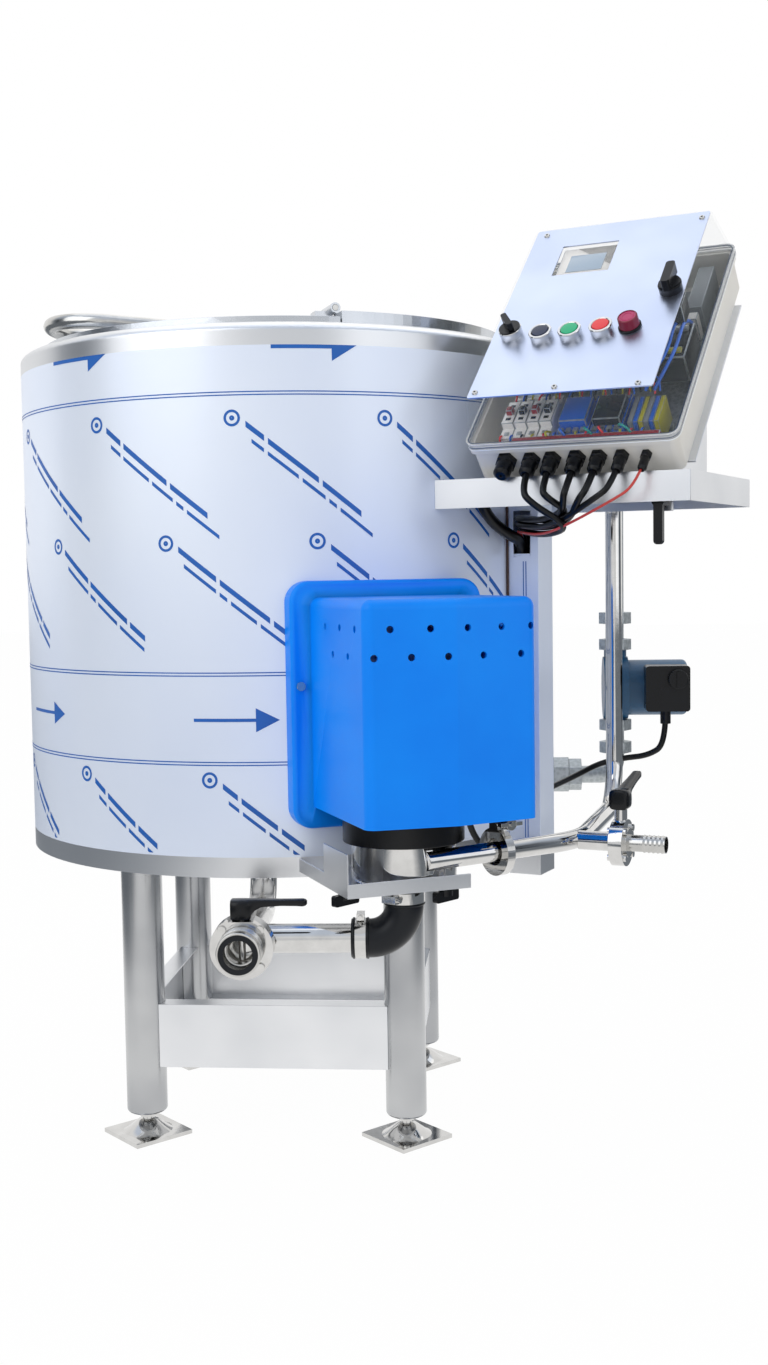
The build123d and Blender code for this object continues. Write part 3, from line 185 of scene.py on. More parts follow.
# Colour, gloss and relief, each from a noise: (lines per metre on each axis, detail).
def patterned(name, light, dark, metallic, cloud, gloss, relief, depth, roughness, **sockets):
    material, tree, shader = newMaterial(name, light, metallic, 0.4, **sockets)
    feed(tree, shader, surfaceNoise(tree, *relief), depth, {
        "Base Color": tint(tree, surfaceNoise(tree, *cloud), dark, light),
        "Roughness": spread(tree, surfaceNoise(tree, *gloss), *roughness)})
    return material


# Sheet or tube ground with a belt: fine lines along one axis, brighter and duller by turns.
def groundSteel(name, light, dark, stretch, roughness=(0.24, 0.4)):
    lines = (stretch, 4.0)
    return patterned(name, light, dark, 1.0, ((7, 7, 7), 2.0), lines, lines, 0.00002, roughness)


# Sanitary tube with a buffed surface: nearly a mirror, with a faint orange peel.
def buffedSteel(name, light, dark, roughness=(0.04, 0.12)):
    cloud = ((40, 40, 40), 3.0)
    return patterned(name, light, dark, 1.0, cloud, cloud, ((260, 260, 260), 1.0), 0.00001, roughness)


# Moulded plastic: even colour, fine texture from the tool.
def plastic(name, light, dark, roughness=(0.3, 0.45), grain=900, depth=0.00003, **sockets):
    cloud = ((9, 9, 9), 3.0)
    fine = ((grain, grain, grain), 2.0)
    return patterned(name, light, dark, 0.0, cloud, cloud, fine, depth, roughness, **sockets)


filmedWall = {
    "film": "#eaf2ff",
    "filmShade": "#dee8fb",
    "steel": "#e6e7e9",
    "steelShade": "#d6d8db",
    "low": 0.460,      # the film's lower edge
    "high": 1.136,     # and its upper edge
}
filmedColumn = {**filmedWall, "low": 0.447, "high": 0.985}


# Sheet steel under a protective film: the film is a milky skin, so the wall is pale and only half a mirror,
# with bare ground steel below and above it.
def filmedSteel(name, v):
    material, tree, shader = newMaterial(name, v["film"], 0.35, 0.3, IOR=1.5)
    cloud = surfaceNoise(tree, (3, 3, 2), 3.0)
    height = addNode(tree, "ShaderNodeSeparateXYZ", {0: ownPlace(tree)}).outputs["Z"]
    covered = addMath(tree, "MULTIPLY", addMath(tree, "GREATER_THAN", height, v["low"]),
                      addMath(tree, "LESS_THAN", height, v["high"]))
    bare = tint(tree, cloud, v["steelShade"], v["steel"])
    film = tint(tree, cloud, v["filmShade"], v["film"])
    feed(tree, shader, surfaceNoise(tree, (5, 5, 3), 2.0), 0.0006, {
        "Base Color": mixColour(tree, covered, bare, film),
        "Metallic": spread(tree, covered, 1.0, 0.22),
        "Roughness": spread(tree, surfaceNoise(tree, (6, 6, 1400), 4.0), 0.26, 0.36)})
    return material


def galvanisedIron(name, light, dark):
    material, tree, shader = newMaterial(name, light, 0.85, 0.45)
    cells = addNode(tree, "ShaderNodeTexVoronoi", {"Vector": ownPlace(tree), "Scale": 160.0})
    flakes = cells.outputs["Distance"]
    feed(tree, shader, surfaceNoise(tree, (300, 300, 300), 3.0), 0.00006, {
        "Base Color": tint(tree, flakes, dark, light), "Roughness": spread(tree, flakes, 0.35, 0.6)})
    return material


def clearCover(name, colour, alpha):
    material, tree, shader = newMaterial(name, colour, 0.0, 0.05, IOR=1.38, Alpha=alpha)
    feed(tree, shader, surfaceNoise(tree, (30, 30, 30), 2.0), 0.0001, {})
    return material


def mineralWool(name, light, dark):
    material, tree, shader = newMaterial(name, light, 0.0, 0.95)
    fibres = surfaceNoise(tree, (700, 700, 90), 5.0)
    feed(tree, shader, fibres, 0.0008, {"Base Color": tint(tree, fibres, dark, light)})
    return material


print("materials")
finish = {
    "filmedWall": filmedSteel("filmed stainless wall", filmedWall),
    "filmedColumn": filmedSteel("filmed stainless column", filmedColumn),
    "uprightSteel": groundSteel("stainless ground upright", "#c3c4c5", "#a4a6a9", (900, 900, 8), (0.16, 0.27)),
    "sheetSteel": groundSteel("stainless ground sheet", "#eaebed", "#dadcdf", (14, 900, 900)),
    "lidSteel": groundSteel("stainless lid sheet", "#d3d6da", "#bfc3c9", (10, 700, 700), (0.16, 0.28)),
    "tankSteel": groundSteel("stainless tank sheet", "#e0e0e0", "#cfcfd0", (5, 5, 700), (0.2, 0.34)),
    "plateSteel": groundSteel("console plate", "#cfd7ea", "#c0c9de", (12, 900, 900), (0.28, 0.42)),
    "buffed": buffedSteel("buffed stainless tube", "#d9d8d6", "#cbcac8"),
    "satinMetal": buffedSteel("turned stainless", "#cfcecb", "#bdbcb9", (0.12, 0.26)),
    "hoodBlue": plastic("blue polyethylene", "#008cff", "#0083f9", (0.3, 0.4), 500, 0.00006, IOR=1.3),
    "rubber": plastic("nitrile rubber", "#0a1018", "#060a10", (0.26, 0.36), 1200, 0.00003, IOR=1.36),
    "lantern": plastic("black painted casting", "#0c0e12", "#07080b", (0.24, 0.38), 420, 0.0001, IOR=1.36),
    "nylon": plastic("black nylon", "#090b10", "#05070a", (0.2, 0.32), 1400, 0.00003, IOR=1.36),
    "cable": plastic("black cable jacket", "#08090c", "#050608", (0.26, 0.36), 1500, 0.00002, IOR=1.36),
    "redCable": plastic("red wire jacket", "#d0453f", "#b93a35", (0.36, 0.46), 1500, 0.00002),
    "brownCable": plastic("brown wire jacket", "#4a2a20", "#3b2019", (0.4, 0.5), 1500, 0.00002),
    "caseGrey": plastic("grey cabinet plastic", "#e4e2dc", "#dad7d0", (0.35, 0.5), 700, 0.00004),
    "clearLid": clearCover("clear polycarbonate", "#d6e2ea", 0.035),
    "green": plastic("green button", "#0fbf86", "#0aa873", (0.2, 0.3)),
    "red": plastic("red button", "#f0383c", "#dc2b30", (0.2, 0.3)),
    "darkBlue": plastic("dark blue button", "#1a2a4c", "#132140", (0.2, 0.3)),
    "seal": plastic("silicone seal", "#d8d6d0", "#c8c6c0", (0.5, 0.6)),
    "motor": plastic("grey motor paint", "#4b5660", "#3f4951", (0.3, 0.42), 300, 0.0001),
    "circulator": plastic("teal cast paint", "#1f5c84", "#174a6e", (0.28, 0.42), 260, 0.00025),
    "galvanised": galvanisedIron("galvanised iron", "#c3c8ca", "#a9afb1"),
    "wool": mineralWool("mineral wool", "#dccb74", "#9c8b3e"),
    "ink": plastic("blue film ink", "#0b63bd", "#0757aa", (0.35, 0.45)),
    "whitePlastic": plastic("white breaker plastic", "#f7f6f4", "#eceae7", (0.3, 0.4)),
    "gearBlue": plastic("blue contactor plastic", "#0f6be0", "#0b58c2", (0.3, 0.4)),
    "gearGrey": plastic("grey terminal plastic", "#8f959a", "#7d8388", (0.35, 0.45)),
    "gearYellow": plastic("earth yellow plastic", "#c9c21d", "#b3ad14", (0.35, 0.45)),
    "trunkingRed": plastic("dark red strip", "#9c1f2b", "#861823", (0.35, 0.5)),
    "displayBlue": plastic("display glass", "#aebfd0", "#9fb2c6", (0.08, 0.14)),
    # the lamp's side is a darker copy of the top's red: painted shade
    "lampShadedSide": plastic("smoked red lamp body in painted shade", "#7d1030", "#650b26", (0.1, 0.18)),
    "lampTop": plastic("smoked red lamp top", "#b81a60", "#9c1450", (0.12, 0.2)),
    "clearRim": clearCover("clear lid flange", "#f0f5f9", 0.3),
    # white strips painted as highlights along the clear lid's edges
    "rimPaintedHighlight": plastic("white strip painted as a lid highlight", "#f6f8fa", "#eceff2", (0.1, 0.16)),
    "rimDark": plastic("lid gasket", "#44566e", "#3a4a60", (0.3, 0.4)),
    "wireTeal": plastic("teal wire jacket", "#129a94", "#0e8681", (0.32, 0.42)),
}


def newPiece(name, data, finishes=()):
    piece = bpy.data.objects.new(name, data)
    scene.collection.objects.link(piece)
    for finishName in finishes:
        data.materials.append(finish[finishName])
    return piece


def plainMesh(name, mesh):
    data = bpy.data.meshes.new(name)
    mesh.to_mesh(data)
    mesh.free()
    return data


# Says what carries the piece and the node that it stands for, if any, which it hides; the slot is not used.
def settle(piece, slot=None, node=None):
    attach(piece, frame["nodes"][node]["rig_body"] if node else "machine")
    if node:
        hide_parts(node)


# A piece from a mesh that is drawn in the matrix's own millimetres.
def makePiece(name, mesh, finishes, matrix=None, smooth=40.0, **place):
    if matrix is not None:
        bmesh.ops.recalc_face_normals(mesh, faces=mesh.faces)
        mesh.transform(matrix)
    piece = newPiece(name, plainMesh(name, mesh), finishes)
    if smooth:
        shadeSmooth(piece, smooth)
    settle(piece, **place)


def shadeSmooth(piece, degrees):
    data = piece.data
    data.polygons.foreach_set("use_smooth", [True] * len(data.polygons))
    data.set_sharp_from_angle(angle=math.radians(degrees))


# A CAD node keeps its shape: a merged copy of it gets the finish, smooth shading and soft edges.
def dressNode(node, finishName, softEdge, smooth=32.0):
    mesh = bmesh.new()
    mesh.from_mesh(frame["nodes"][node].data)
    bmesh.ops.remove_doubles(mesh, verts=mesh.verts, dist=0.00001)
    bmesh.ops.dissolve_degenerate(mesh, edges=mesh.edges, dist=0.000001)
    for face in mesh.faces:
        face.material_index = 0
    piece = newPiece(node + "Dressed", plainMesh(node + "Dressed", mesh), [finishName])
    shadeSmooth(piece, smooth)
    if softEdge:
        bevel = piece.modifiers.new("soft edge", "BEVEL")
        bevel.width = softEdge * mm
        bevel.segments = 2
        bevel.limit_method = "ANGLE"
        bevel.angle_limit = math.radians(smooth)
    piece.modifiers.new("flat faces stay flat", "WEIGHTED_NORMAL").keep_sharp = True
    settle(piece, node=node)


# For each finish, the nodes that wear it and the width of their soft edges, in mm.
dressing = {
    "filmedWall": {"outer_wall": 0},
    "filmedColumn": {"service_column": 0.8},
    "tankSteel": {"inner_vessel": 0, "jacket_shell": 0},
    "wool": {"insulation": 0},
    "uprightSteel": {"legs": 0},
    "sheetSteel": {"base_pan": 0, "stretchers": 0.8, "pump_tray": 0.6, "console_shelf": 0.8,
                   "console_bracket": 0.6},
    "lidSteel": {"lid_fixed_half": 0.8, "lid_opening_half": 0.8},
    "plateSteel": {"face_plate": 0.5},
    "buffed": {"levelling_feet": 0.6, "drain_pipe": 0, "pipe_clamps": 0.4, "drain_valve_body": 0.6,
               "drain_valve_disc": 0, "pump_volute": 0, "pump_shaft": 0, "pump_impeller": 0,
               "discharge_pipe": 0, "side_valve_body": 0.6, "side_valve_disc": 0},
    "satinMetal": {"jacket_heaters": 0, "lid_bow": 0, "lid_hinge_pins": 0.4, "drain_nipple": 0.8,
                   "cover_screws": 0.8, "clamp_wing_nut": 1.0, "hose_barb": 0, "circulator_rotor": 0},
    "rubber": {"suction_elbow": 0},
    "seal": {"valve_seats": 0},
    "lantern": {"pump_lantern": 1.2},
    "motor": {"pump_motor": 0},
    "hoodBlue": {"pump_hood": 0},
    "nylon": {"wing_knob_left": 1.4, "wing_knob_right": 1.4, "clamping_lever": 1.2, "selector_knob": 1.2,
              "main_switch_knob": 1.4, "cable_glands": 0.8, "circulator_terminal_box": 1.5,
              "circulator_knob": 0.8},
    "caseGrey": {"enclosure_base": 1.5},
    "clearLid": {"enclosure_lid": 0},
    "circulator": {"circulator_body": 1.5, "circulator_motor": 0},
    "galvanised": {"jacket_pipework": 0.8},
}
print("dressing the model's own parts")
for finishName, nodes in dressing.items():
    for node, softEdge in nodes.items():
        dressNode(node, finishName, softEdge, 14.0 if node == "hose_barb" else 32.0)


# Points in the arm's and the console's own directions, in millimetres.
arm = {"turn": -22.5}
console = {"s": 549.0, "p": 234.0, "z": 1061.5, "tilt": 45.0}


def turned(degrees):
    return Matrix.Rotation(math.radians(degrees), 4, "Z")


def moved(x, y=0.0, z=0.0):
    return Matrix.Translation((x, y, z))


def armPoint(s, p, z):
    return turned(arm["turn"]) @ Vector((s, -p, z)) * mm


consoleMatrix = (
    moved(*armPoint(console["s"], console["p"], console["z"])) @ turned(arm["turn"])
    @ Matrix.Rotation(math.radians(console["tilt"]), 4, "X") @ toMetres
)


# Joins rows of points into a skin: row to row, back to the first if shut, and end to end if looped.
# A row of one point is a tip.
def addSkin(mesh, rows, index=0, shut=True, looped=True):
    rows = [[mesh.verts.new(place) for place in row] for row in rows]
    for a, b in zip(rows, rows[1:] + rows[:1] if shut else rows[1:]):
        sides = max(len(a), len(b))
        for i in range(sides if looped else sides - 1):
            j = (i + 1) % sides
            if len(a) == 1:
                corners = (a[0], b[i], b[j])
            elif len(b) == 1:
                corners = (a[i], a[j], b[0])
            else:
                corners = (a[i], a[j], b[j], b[i])
            mesh.faces.new(corners).material_index = index
    return rows


def turns(count):
    return [math.tau * i / count for i in range(count)]


filmPrint = {
    "radius": 392.7,
    "lines": (1075.8, 1071.8, 707.5, 703.5, 588.1, 584.1),
    "lineWidth": 1.5,
    "arrowCount": 7,
    # first angle, height of the line, length, head length, shaft and head below and above the line
    "arrows": {
        "filmArrows": (-52.5, 644.5, 117.0, 32.0, (2.2, 2.2), (16.0, 16.0)),
        "filmHalfArrows": (-36.0, 1136.0, 114.0, 34.0, (5.0, 0.0), (21.0, 0.0)),
    },
    "markCount": 12,
    "slope": -38.0,              # how the dashes run down to the right, in degrees
    "ring": (11.0, 7.6, 3.4),    # outer, inner and dot radius
    "ringOffset": (-18.0, 12.0),
    "rows": (
        {"z": 1030.0, "first": -58.0, "heavy": (24, 66, 52), "light": (16, 40, 30, 10, 44)},
        {"z": 868.0, "first": -72.0, "heavy": (52, 66, 24), "light": (44, 10, 34, 40)},
        {"z": 552.0, "first": -64.0, "heavy": (20, 48, 30), "light": (14, 30, 26, 24)},
    ),
    "heavyHeight": 8.0,
    "lightHeight": 5.4,
    "wordGap": 5.0,
    "lineGap": 15.0,
    "step": 4.0,                 # longest straight bit round the wall
}


# A point of the printed wall, so far round it and so high, from mm.
def wallPoint(u, z):
    r = filmPrint["radius"]
    return (r * math.sin(u / r) * mm, -r * math.cos(u / r) * mm, z * mm)


# Ink between two edges, given as heights along the wall, laid in short upright strips.
def inkStrip(mesh, u0, u1, lowEdge, highEdge, z):
    count = max(2, math.ceil(abs(u1 - u0) / filmPrint["step"]))
    along = [u0 + (u1 - u0) * i / count for i in range(count + 1)]
    addSkin(mesh, [[wallPoint(u, z + edge(u)) for u in along] for edge in (lowEdge, highEdge)],
            shut=False, looped=False)


def inkRing(mesh, outer, inner, u0, v0, z):
    addSkin(mesh, [[wallPoint(u0 + r * math.cos(t), z + v0 + r * math.sin(t)) for t in turns(28)]
                   for r in (outer, inner)], shut=False)


# A Geometry Nodes group that takes a mesh and the named inputs.
def newGroup(name, inputs):
    tree = bpy.data.node_groups.new(name, "GeometryNodeTree")
    for title, kind in {"Geometry": "Geometry", **inputs}.items():
        tree.interface.new_socket(title, in_out="INPUT", socket_type="NodeSocket" + kind)
    tree.interface.new_socket("Geometry", in_out="OUTPUT", socket_type="NodeSocketGeometry")
    return tree, addNode(tree, "NodeGroupInput").outputs


# The group's end: its copies become one mesh of one material.
def closeGroup(tree, copies, finishName):
    real = addNode(tree, "GeometryNodeRealizeInstances", {0: copies.outputs[0]})
    painted = addNode(tree, "GeometryNodeSetMaterial", {0: real.outputs[0], "Material": finish[finishName]})
    addNode(tree, "NodeGroupOutput", {0: painted.outputs[0]})
    return tree


# Turns one motif round the vat: so many copies, the first at an angle, then a pitch apart.
def ringTree():
    tree, source = newGroup("round the vat", {"Copies": "Int", "First angle": "Float", "Pitch": "Float"})
    points = addNode(tree, "GeometryNodePoints", {"Count": source["Copies"]})
    index = addNode(tree, "GeometryNodeInputIndex").outputs[0]
    angle = addMath(tree, "MULTIPLY_ADD", index, source["Pitch"], source["First angle"])
    rotation = addNode(tree, "ShaderNodeCombineXYZ", {"Z": angle})
    return closeGroup(tree, addNode(tree, "GeometryNodeInstanceOnPoints", {
        "Points": points.outputs[0], "Instance": source["Geometry"], "Rotation": rotation.outputs[0]}), "ink")


def bakedMesh(piece):
    return bpy.data.meshes.new_from_object(piece.evaluated_get(bpy.context.evaluated_depsgraph_get()))


# Runs a piece's Geometry Nodes with the named inputs and keeps the plain mesh.
def runTree(piece, tree, values):
    modifier = piece.modifiers.new(tree.name, "NODES")
    modifier.node_group = tree
    for item in tree.interface.items_tree:
        if item.item_type == "SOCKET" and item.in_out == "INPUT" and item.name in values:
            modifier[item.identifier] = values[item.name]
    result = bakedMesh(piece)
    piece.modifiers.remove(modifier)
    piece.data = result


def motif(name, build, copies=1, first=0.0):
    mesh = bmesh.new()
    build(mesh)
    trimToFilm(mesh)
    piece = newPiece(name, plainMesh(name, mesh))
    runTree(piece, inkCopies, {
        "Copies": copies, "First angle": math.radians(first), "Pitch": math.tau / copies})
    settle(piece, "film")


def buildArrow(z, length, head, shaft, height):
    tip = length / 2
    neck = tip - head

    def build(mesh):
        inkStrip(mesh, -tip, neck, lambda u: -shaft[0], lambda u: shaft[1], z)
        inkStrip(mesh, neck, tip, lambda u: -height[0] * (tip - u) / head,
                 lambda u: height[1] * (tip - u) / head, z)
    return build


# Two slanting rows of dashes under a ring, as printed film carries them.
def buildMark(row):
    v = filmPrint
    lean = math.tan(math.radians(v["slope"]))
    outer, inner, dot = v["ring"]

    def build(mesh):
        for line, name in enumerate(("heavy", "light")):
            u = line * v["lineGap"] * 0.5
            drop = -line * v["lineGap"]
            for length in row[name]:
                inkStrip(mesh, u, u + length, lambda x: drop + x * lean,
                         lambda x: drop + v[name + "Height"] + x * lean, row["z"])
                u += length + v["wordGap"]
        inkRing(mesh, outer, inner, *v["ringOffset"], row["z"])
        inkRing(mesh, dot, dot * 0.1, *v["ringOffset"], row["z"])
    return build


# Strips that would run past the film's lower edge are cut off there.
def trimToFilm(mesh):
    low = filmedWall["low"] + 0.003
    bmesh.ops.bisect_plane(mesh, geom=mesh.verts[:] + mesh.edges[:] + mesh.faces[:], dist=0.00001,
                           plane_co=(0, 0, low), plane_no=(0, 0, -1), clear_outer=True)


def buildLines(mesh):
    v = filmPrint
    half = v["lineWidth"] / 2
    for z in v["lines"]:
        inkStrip(mesh, 0.0, math.tau * v["radius"], lambda u: -half, lambda u: half, z)


print("print on the film")
inkCopies = ringTree()
motif("filmLines", buildLines)
for name, (first, *shape) in filmPrint["arrows"].items():
    motif(name, buildArrow(*shape), filmPrint["arrowCount"], first)
for number, row in enumerate(filmPrint["rows"]):
    motif("filmMarks%d" % (number + 1), buildMark(row), filmPrint["markCount"], row["first"])


# A block in console millimetres, with its own finish.
def addBlock(mesh, low, high, index=0, round_=0.0):
    made = bmesh.ops.create_cube(mesh, size=1.0)["verts"]
    for vert in made:
        vert.co = Vector([(a + b) / 2 + co * (b - a) for a, b, co in zip(low, high, vert.co)])
    for face in {face for vert in made for face in vert.link_faces}:
        face.material_index = index
    if round_:
        edges = list({edge for vert in made for edge in vert.link_edges})
        bmesh.ops.bevel(mesh, geom=edges, offset=round_, segments=2, profile=0.5, affect="EDGES")


controls = {
    # places on the face plate, in the order from the selector to the switch
    "places": {"selector_knob": (-98, 128), "reset_button": (-52, 117), "start_button": (-11, 116),
               "stop_button": (31, 119), "buzzer_lamp": (68, 122), "main_switch_knob": (107, 194)},
    "ringed": ("selector_knob", "reset_button", "start_button", "stop_button"),
    "keys": {"reset_button": "darkBlue", "start_button": "green", "stop_button": "red"},
    "ring": ((15.3, 0), (15.3, 7.6), (15.8, 8.4), (15.8, 10.4), (15.1, 11.2), (12.6, 11.2), (11.7, 10.4),
             (11.7, 0)),
    "barrel": ((13.0, -16), (13.0, 0), (11.5, 0), (11.5, -16)),
    "key": ((0, 12.2), (7.0, 12.1), (10.6, 11.8), (11.2, 11.2), (11.2, -12), (0, -12)),
    "lampFoot": ((0, 3.5), (14.4, 3.5), (15.2, 2.8), (15.2, -16), (0, -16)),
    # the side's outline; it wears the darker red that is painted shade
    "lampShadedSide": ((13.6, 3.5), (13.2, 16.4), (12.3, 17.4), (11.2, 17.4), (11.2, 3.5)),
    "lampTop": ((0, 16.6), (6.4, 16.6), (6.8, 17.1), (8.4, 17.1), (8.8, 16.6), (11.2, 16.6), (11.2, 4), (0, 4)),
}

controlGear = {
    "floor": -126.5,
    "rails": (50.0, 190.0),
    "breakers": 4,
    "breakerMarks": ((5, 60), (5, 34)),
    # thick loops on the right: finish, radius and path in mm
    "loops": (
        ("gearBlue", 2.3, ((112, 226, -78), (118, 190, -40), (122, 120, -36), (112, 84, -44), (96, 74, -66))),
        ("gearBlue", 2.3, ((100, 226, -78), (108, 180, -34), (114, 112, -32), (100, 84, -42), (84, 74, -66))),
        ("wireTeal", 1.7, ((60, 16, -74), (66, 4, -58), (82, 2, -74), (86, 0, -104))),
        ("wireTeal", 1.7, ((14, 16, -74), (18, 2, -60), (30, 3, -78), (36, 0, -104))),
        ("red", 1.5, ((34, 16, -74), (36, 4, -62), (44, 4, -80), (40, 0, -104))),
        ("gearYellow", 1.5, ((-34, 16, -78), (-38, 4, -64), (-34, 4, -84), (-28, 0, -104))),
        ("gearBlue", 1.7, ((-20, 16, -74), (-16, 3, -60), (-8, 3, -80), (-4, 0, -104))),
    ),
    "contactors": 2,
    "terminals": 6,
    # the gear's larger single parts: two corners (mm over the floor), finish and rounding
    "single": (
        (-120, 5, 0, 120, 365, 2, 0, 0),
        (-100, 150, 9.5, -20, 230, 60, 4, 1.5), (0, 155, 9.5, 60, 225, 66, 1, 1.5),
        (66, 150, 9.5, 118, 222, 52, 2, 2.0), (-112, 246, 2, 112, 262, 40, 1, 1.0),
        (94, 268, 2, 116, 360, 44, 4, 1.0), (-84, -5.5, 40, 118, 4.5, 53, 6, 1.5),
        (-74, 257, 91.5, 4, 321, 121.5, 1, 1.0), (-60, 266, 120.5, -8, 304, 122.3, 8, 0.5),
    ),
    "finishes": ("galvanised", "whitePlastic", "nylon", "gearBlue", "gearGrey", "gearYellow", "trunkingRed",
                 "green", "displayBlue"),
    "contactFinishes": (2, 2, 7, 6, 2, 2),
    "seed": 7,
    "wires": 26,
    "wireRadius": 1.4,
}


def buildControlGear():
    v = controlGear
    mesh = bmesh.new()

    def block(x0, y0, z0, x1, y1, z1, index=0, round_=0.0):
        addBlock(mesh, (x0, y0, v["floor"] + z0), (x1, y1, v["floor"] + z1), index, round_)

    for y in v["rails"]:
        block(-112, y - 17.5, 2, 112, y - 10, 9.5)
        block(-112, y + 10, 2, 112, y + 17.5, 9.5)
        block(-112, y - 11, 2, 112, y + 11, 4)
    for i in range(v["breakers"]):
        x = -106 + i * 18
        block(x, 8, 9.5, x + 17.4, 92, 48, 1, 0.8)
        block(x, 28, 46, x + 17.4, 72, 58, 1, 1.0)
        block(x + 4, 44, 56, x + 13.4, 54, 66, 2 if i % 2 else 6, 1.0)
        for y in (14, 80):
            block(x + 5, y, 46, x + 12, y + 7, 49, 0, 0.6)
        for dx, y in v["breakerMarks"]:
            block(x + dx, y, 57.6, x + dx + 7, y + 5, 58.3, 2)
    for i in range(v["contactors"]):
        x = -28 + i * 46
        block(x, 12, 9.5, x + 44, 88, 46, 3, 1.0)
        block(x + 3, 26, 44, x + 41, 74, 58, 2 if i else 3, 1.5)
        for j in range(4):
            for y in (14, 78):
                block(x + 4 + j * 10, y, 44, x + 11 + j * 10, y + 8, 50, 0, 0.6)
    for i in range(v["terminals"]):
        block(68 + i * 7, 25, 9.5, 74.4 + i * 7, 75, 50, (4, 3, 5)[i % 3], 0.5)
    for i in range(8):
        block(-96 + i * 9.4, 226, 58, -90 + i * 9.4, 234, 64, 0, 0.5)
    for i in range(4):
        block(72 + i * 11, 158, 51, 79 + i * 11, 168, 55, 5, 0.6)
        block(72 + i * 11, 204, 51, 79 + i * 11, 214, 55, 0, 0.6)
    for i in range(9):
        block(93, 272 + i * 9.6, 10, 94.6, 276 + i * 9.6, 40, 2)
    for (x, y), index in zip(controls["places"].values(), v["contactFinishes"]):
        block(x - 13, y - 15, 80.5, x + 13, y + 15, 110.5, index, 1.0)
    for row in v["single"]:
        block(*row)
    makePiece("controlGear", mesh, v["finishes"], consoleMatrix, 30.0, node="control_gear")


# A round line, in so many steps round it and along each stretch; its runs are added one by one.
def newCurve(name, radius, around=3, along=8):
    curve = bpy.data.curves.new(name, "CURVE")
    curve.dimensions = "3D"
    curve.bevel_depth = radius
    curve.bevel_resolution = around
    curve.resolution_u = along
    return curve


def addRun(curve, places):
    spline = curve.splines.new("NURBS")
    spline.points.add(len(places) - 1)
    for point, place in zip(spline.points, places):
        point.co = (*place, 1.0)
    spline.order_u = 3
    spline.use_endpoint_u = True


# Loose single wires between the contact blocks and the gear, in four colours.
def buildWires():
    v = controlGear
    rng = random.Random(v["seed"])
    colours = {"wireRed": "red", "wireBlue": "gearBlue", "wireBlack": "cable", "wireEarth": "gearYellow"}
    for number, (name, finishName) in enumerate(colours.items()):
        curve = newCurve(name, v["wireRadius"])
        for i in range(number, v["wires"], len(colours)):
            x0 = -100 + i * 8 + rng.uniform(-3, 3)
            x1 = -95 + (i * 37 % 190) + rng.uniform(-4, 4)
            addRun(curve, (
                (x0, 80 + rng.uniform(-4, 4), -76), (x0, 96, -66 + rng.uniform(-6, 6)),
                ((x0 + x1) / 2, 108 + rng.uniform(-10, 16), -62 + rng.uniform(-10, 8)),
                (x1, 136 + rng.uniform(-8, 8), -60), (x1 + 4, 152, -64)))
        for i in range(number, 14, len(colours)):
            x0 = -104 + i * 15
            addRun(curve, ((x0, 16, -80), (x0 + 2, 4, -70), (x0 + rng.uniform(-6, 8), 8, -92),
                           (x0 + 8, 1, -104)))
        finishWires(curve, finishName)
    for number, (finishName, radius, places) in enumerate(v["loops"]):
        curve = newCurve("wireLoop" + str(number + 1), radius)
        addRun(curve, places)
        finishWires(curve, finishName)


def finishWires(curve, finishName):
    holder = newPiece(curve.name, curve)
    data = bakedMesh(holder)
    bpy.data.objects.remove(holder)
    data.transform(consoleMatrix)
    data.materials.clear()
    piece = newPiece(curve.name, data, [finishName])
    shadeSmooth(piece, 50.0)
    settle(piece, "gear_plastic")


# Turns a (radius, height) outline about the matrix's Z axis; it is closed by itself or by points on the axis.
def addTurned(mesh, matrix, outline, index=0, sides=56):
    addSkin(mesh, [[matrix @ Vector((r * math.cos(t), r * math.sin(t), z)) for t in turns(sides if r else 1)]
                   for r, z in outline], index, shut=outline[0][0] > 0)


def buildControls():
    v = controls
    rings = bmesh.new()
    for name in (*v["ringed"], "main_switch_knob"):
        place = moved(*v["places"][name])
        addTurned(rings, place, v["ring"], 0 if name in v["ringed"] else 1)
        addTurned(rings, place, v["barrel"], 1)
    makePiece("controlRings", rings, ("buffed", "nylon"), consoleMatrix, 35.0, node="console_bezels")
    for node, finishName in v["keys"].items():
        key = bmesh.new()
        addTurned(key, moved(*v["places"][node]), v["key"])
        makePiece(node + "Cap", key, [finishName], consoleMatrix, 35.0, node=node)
    lamp = bmesh.new()
    for number, part in enumerate(("lampFoot", "lampShadedSide", "lampTop")):
        addTurned(lamp, moved(*v["places"]["buzzer_lamp"]), v[part], number)
    makePiece("buzzerLamp", lamp, ("nylon", "lampShadedSide", "lampTop"), consoleMatrix, 35.0, node="buzzer_lamp")


lidRim = {
    "corner": 13.0,
    "flange": (-1.0, 9.0, 1.5),      # lower edge and top over the case's edge, and width beyond the case
    "light": 0.9,                    # half the width of the white strips painted as highlights on the lid's edges
    "gasket": 0.8,
    "steps": 8,
}


# A rounded rectangle (half width, lower y, upper y, corner radius) as points.
def roundedLoop(half, y0, y1, corner, steps):
    points = []
    for cx, cy, start in ((half, y1, 0), (-half, y1, 90), (-half, y0, 180), (half, y0, 270)):
        inX = cx - math.copysign(corner, cx)
        inY = cy - corner if cy == y1 else cy + corner
        for i in range(steps + 1):
            t = math.radians(start + 90 * i / steps)
            points.append((inX + corner * math.cos(t), inY + corner * math.sin(t)))
    return points


def consoleBox(node):
    inverse = consoleMatrix.inverted()
    places = [inverse @ corner.co for corner in frame["nodes"][node].data.vertices]
    return [(min(p[i] for p in places), max(p[i] for p in places)) for i in range(3)]


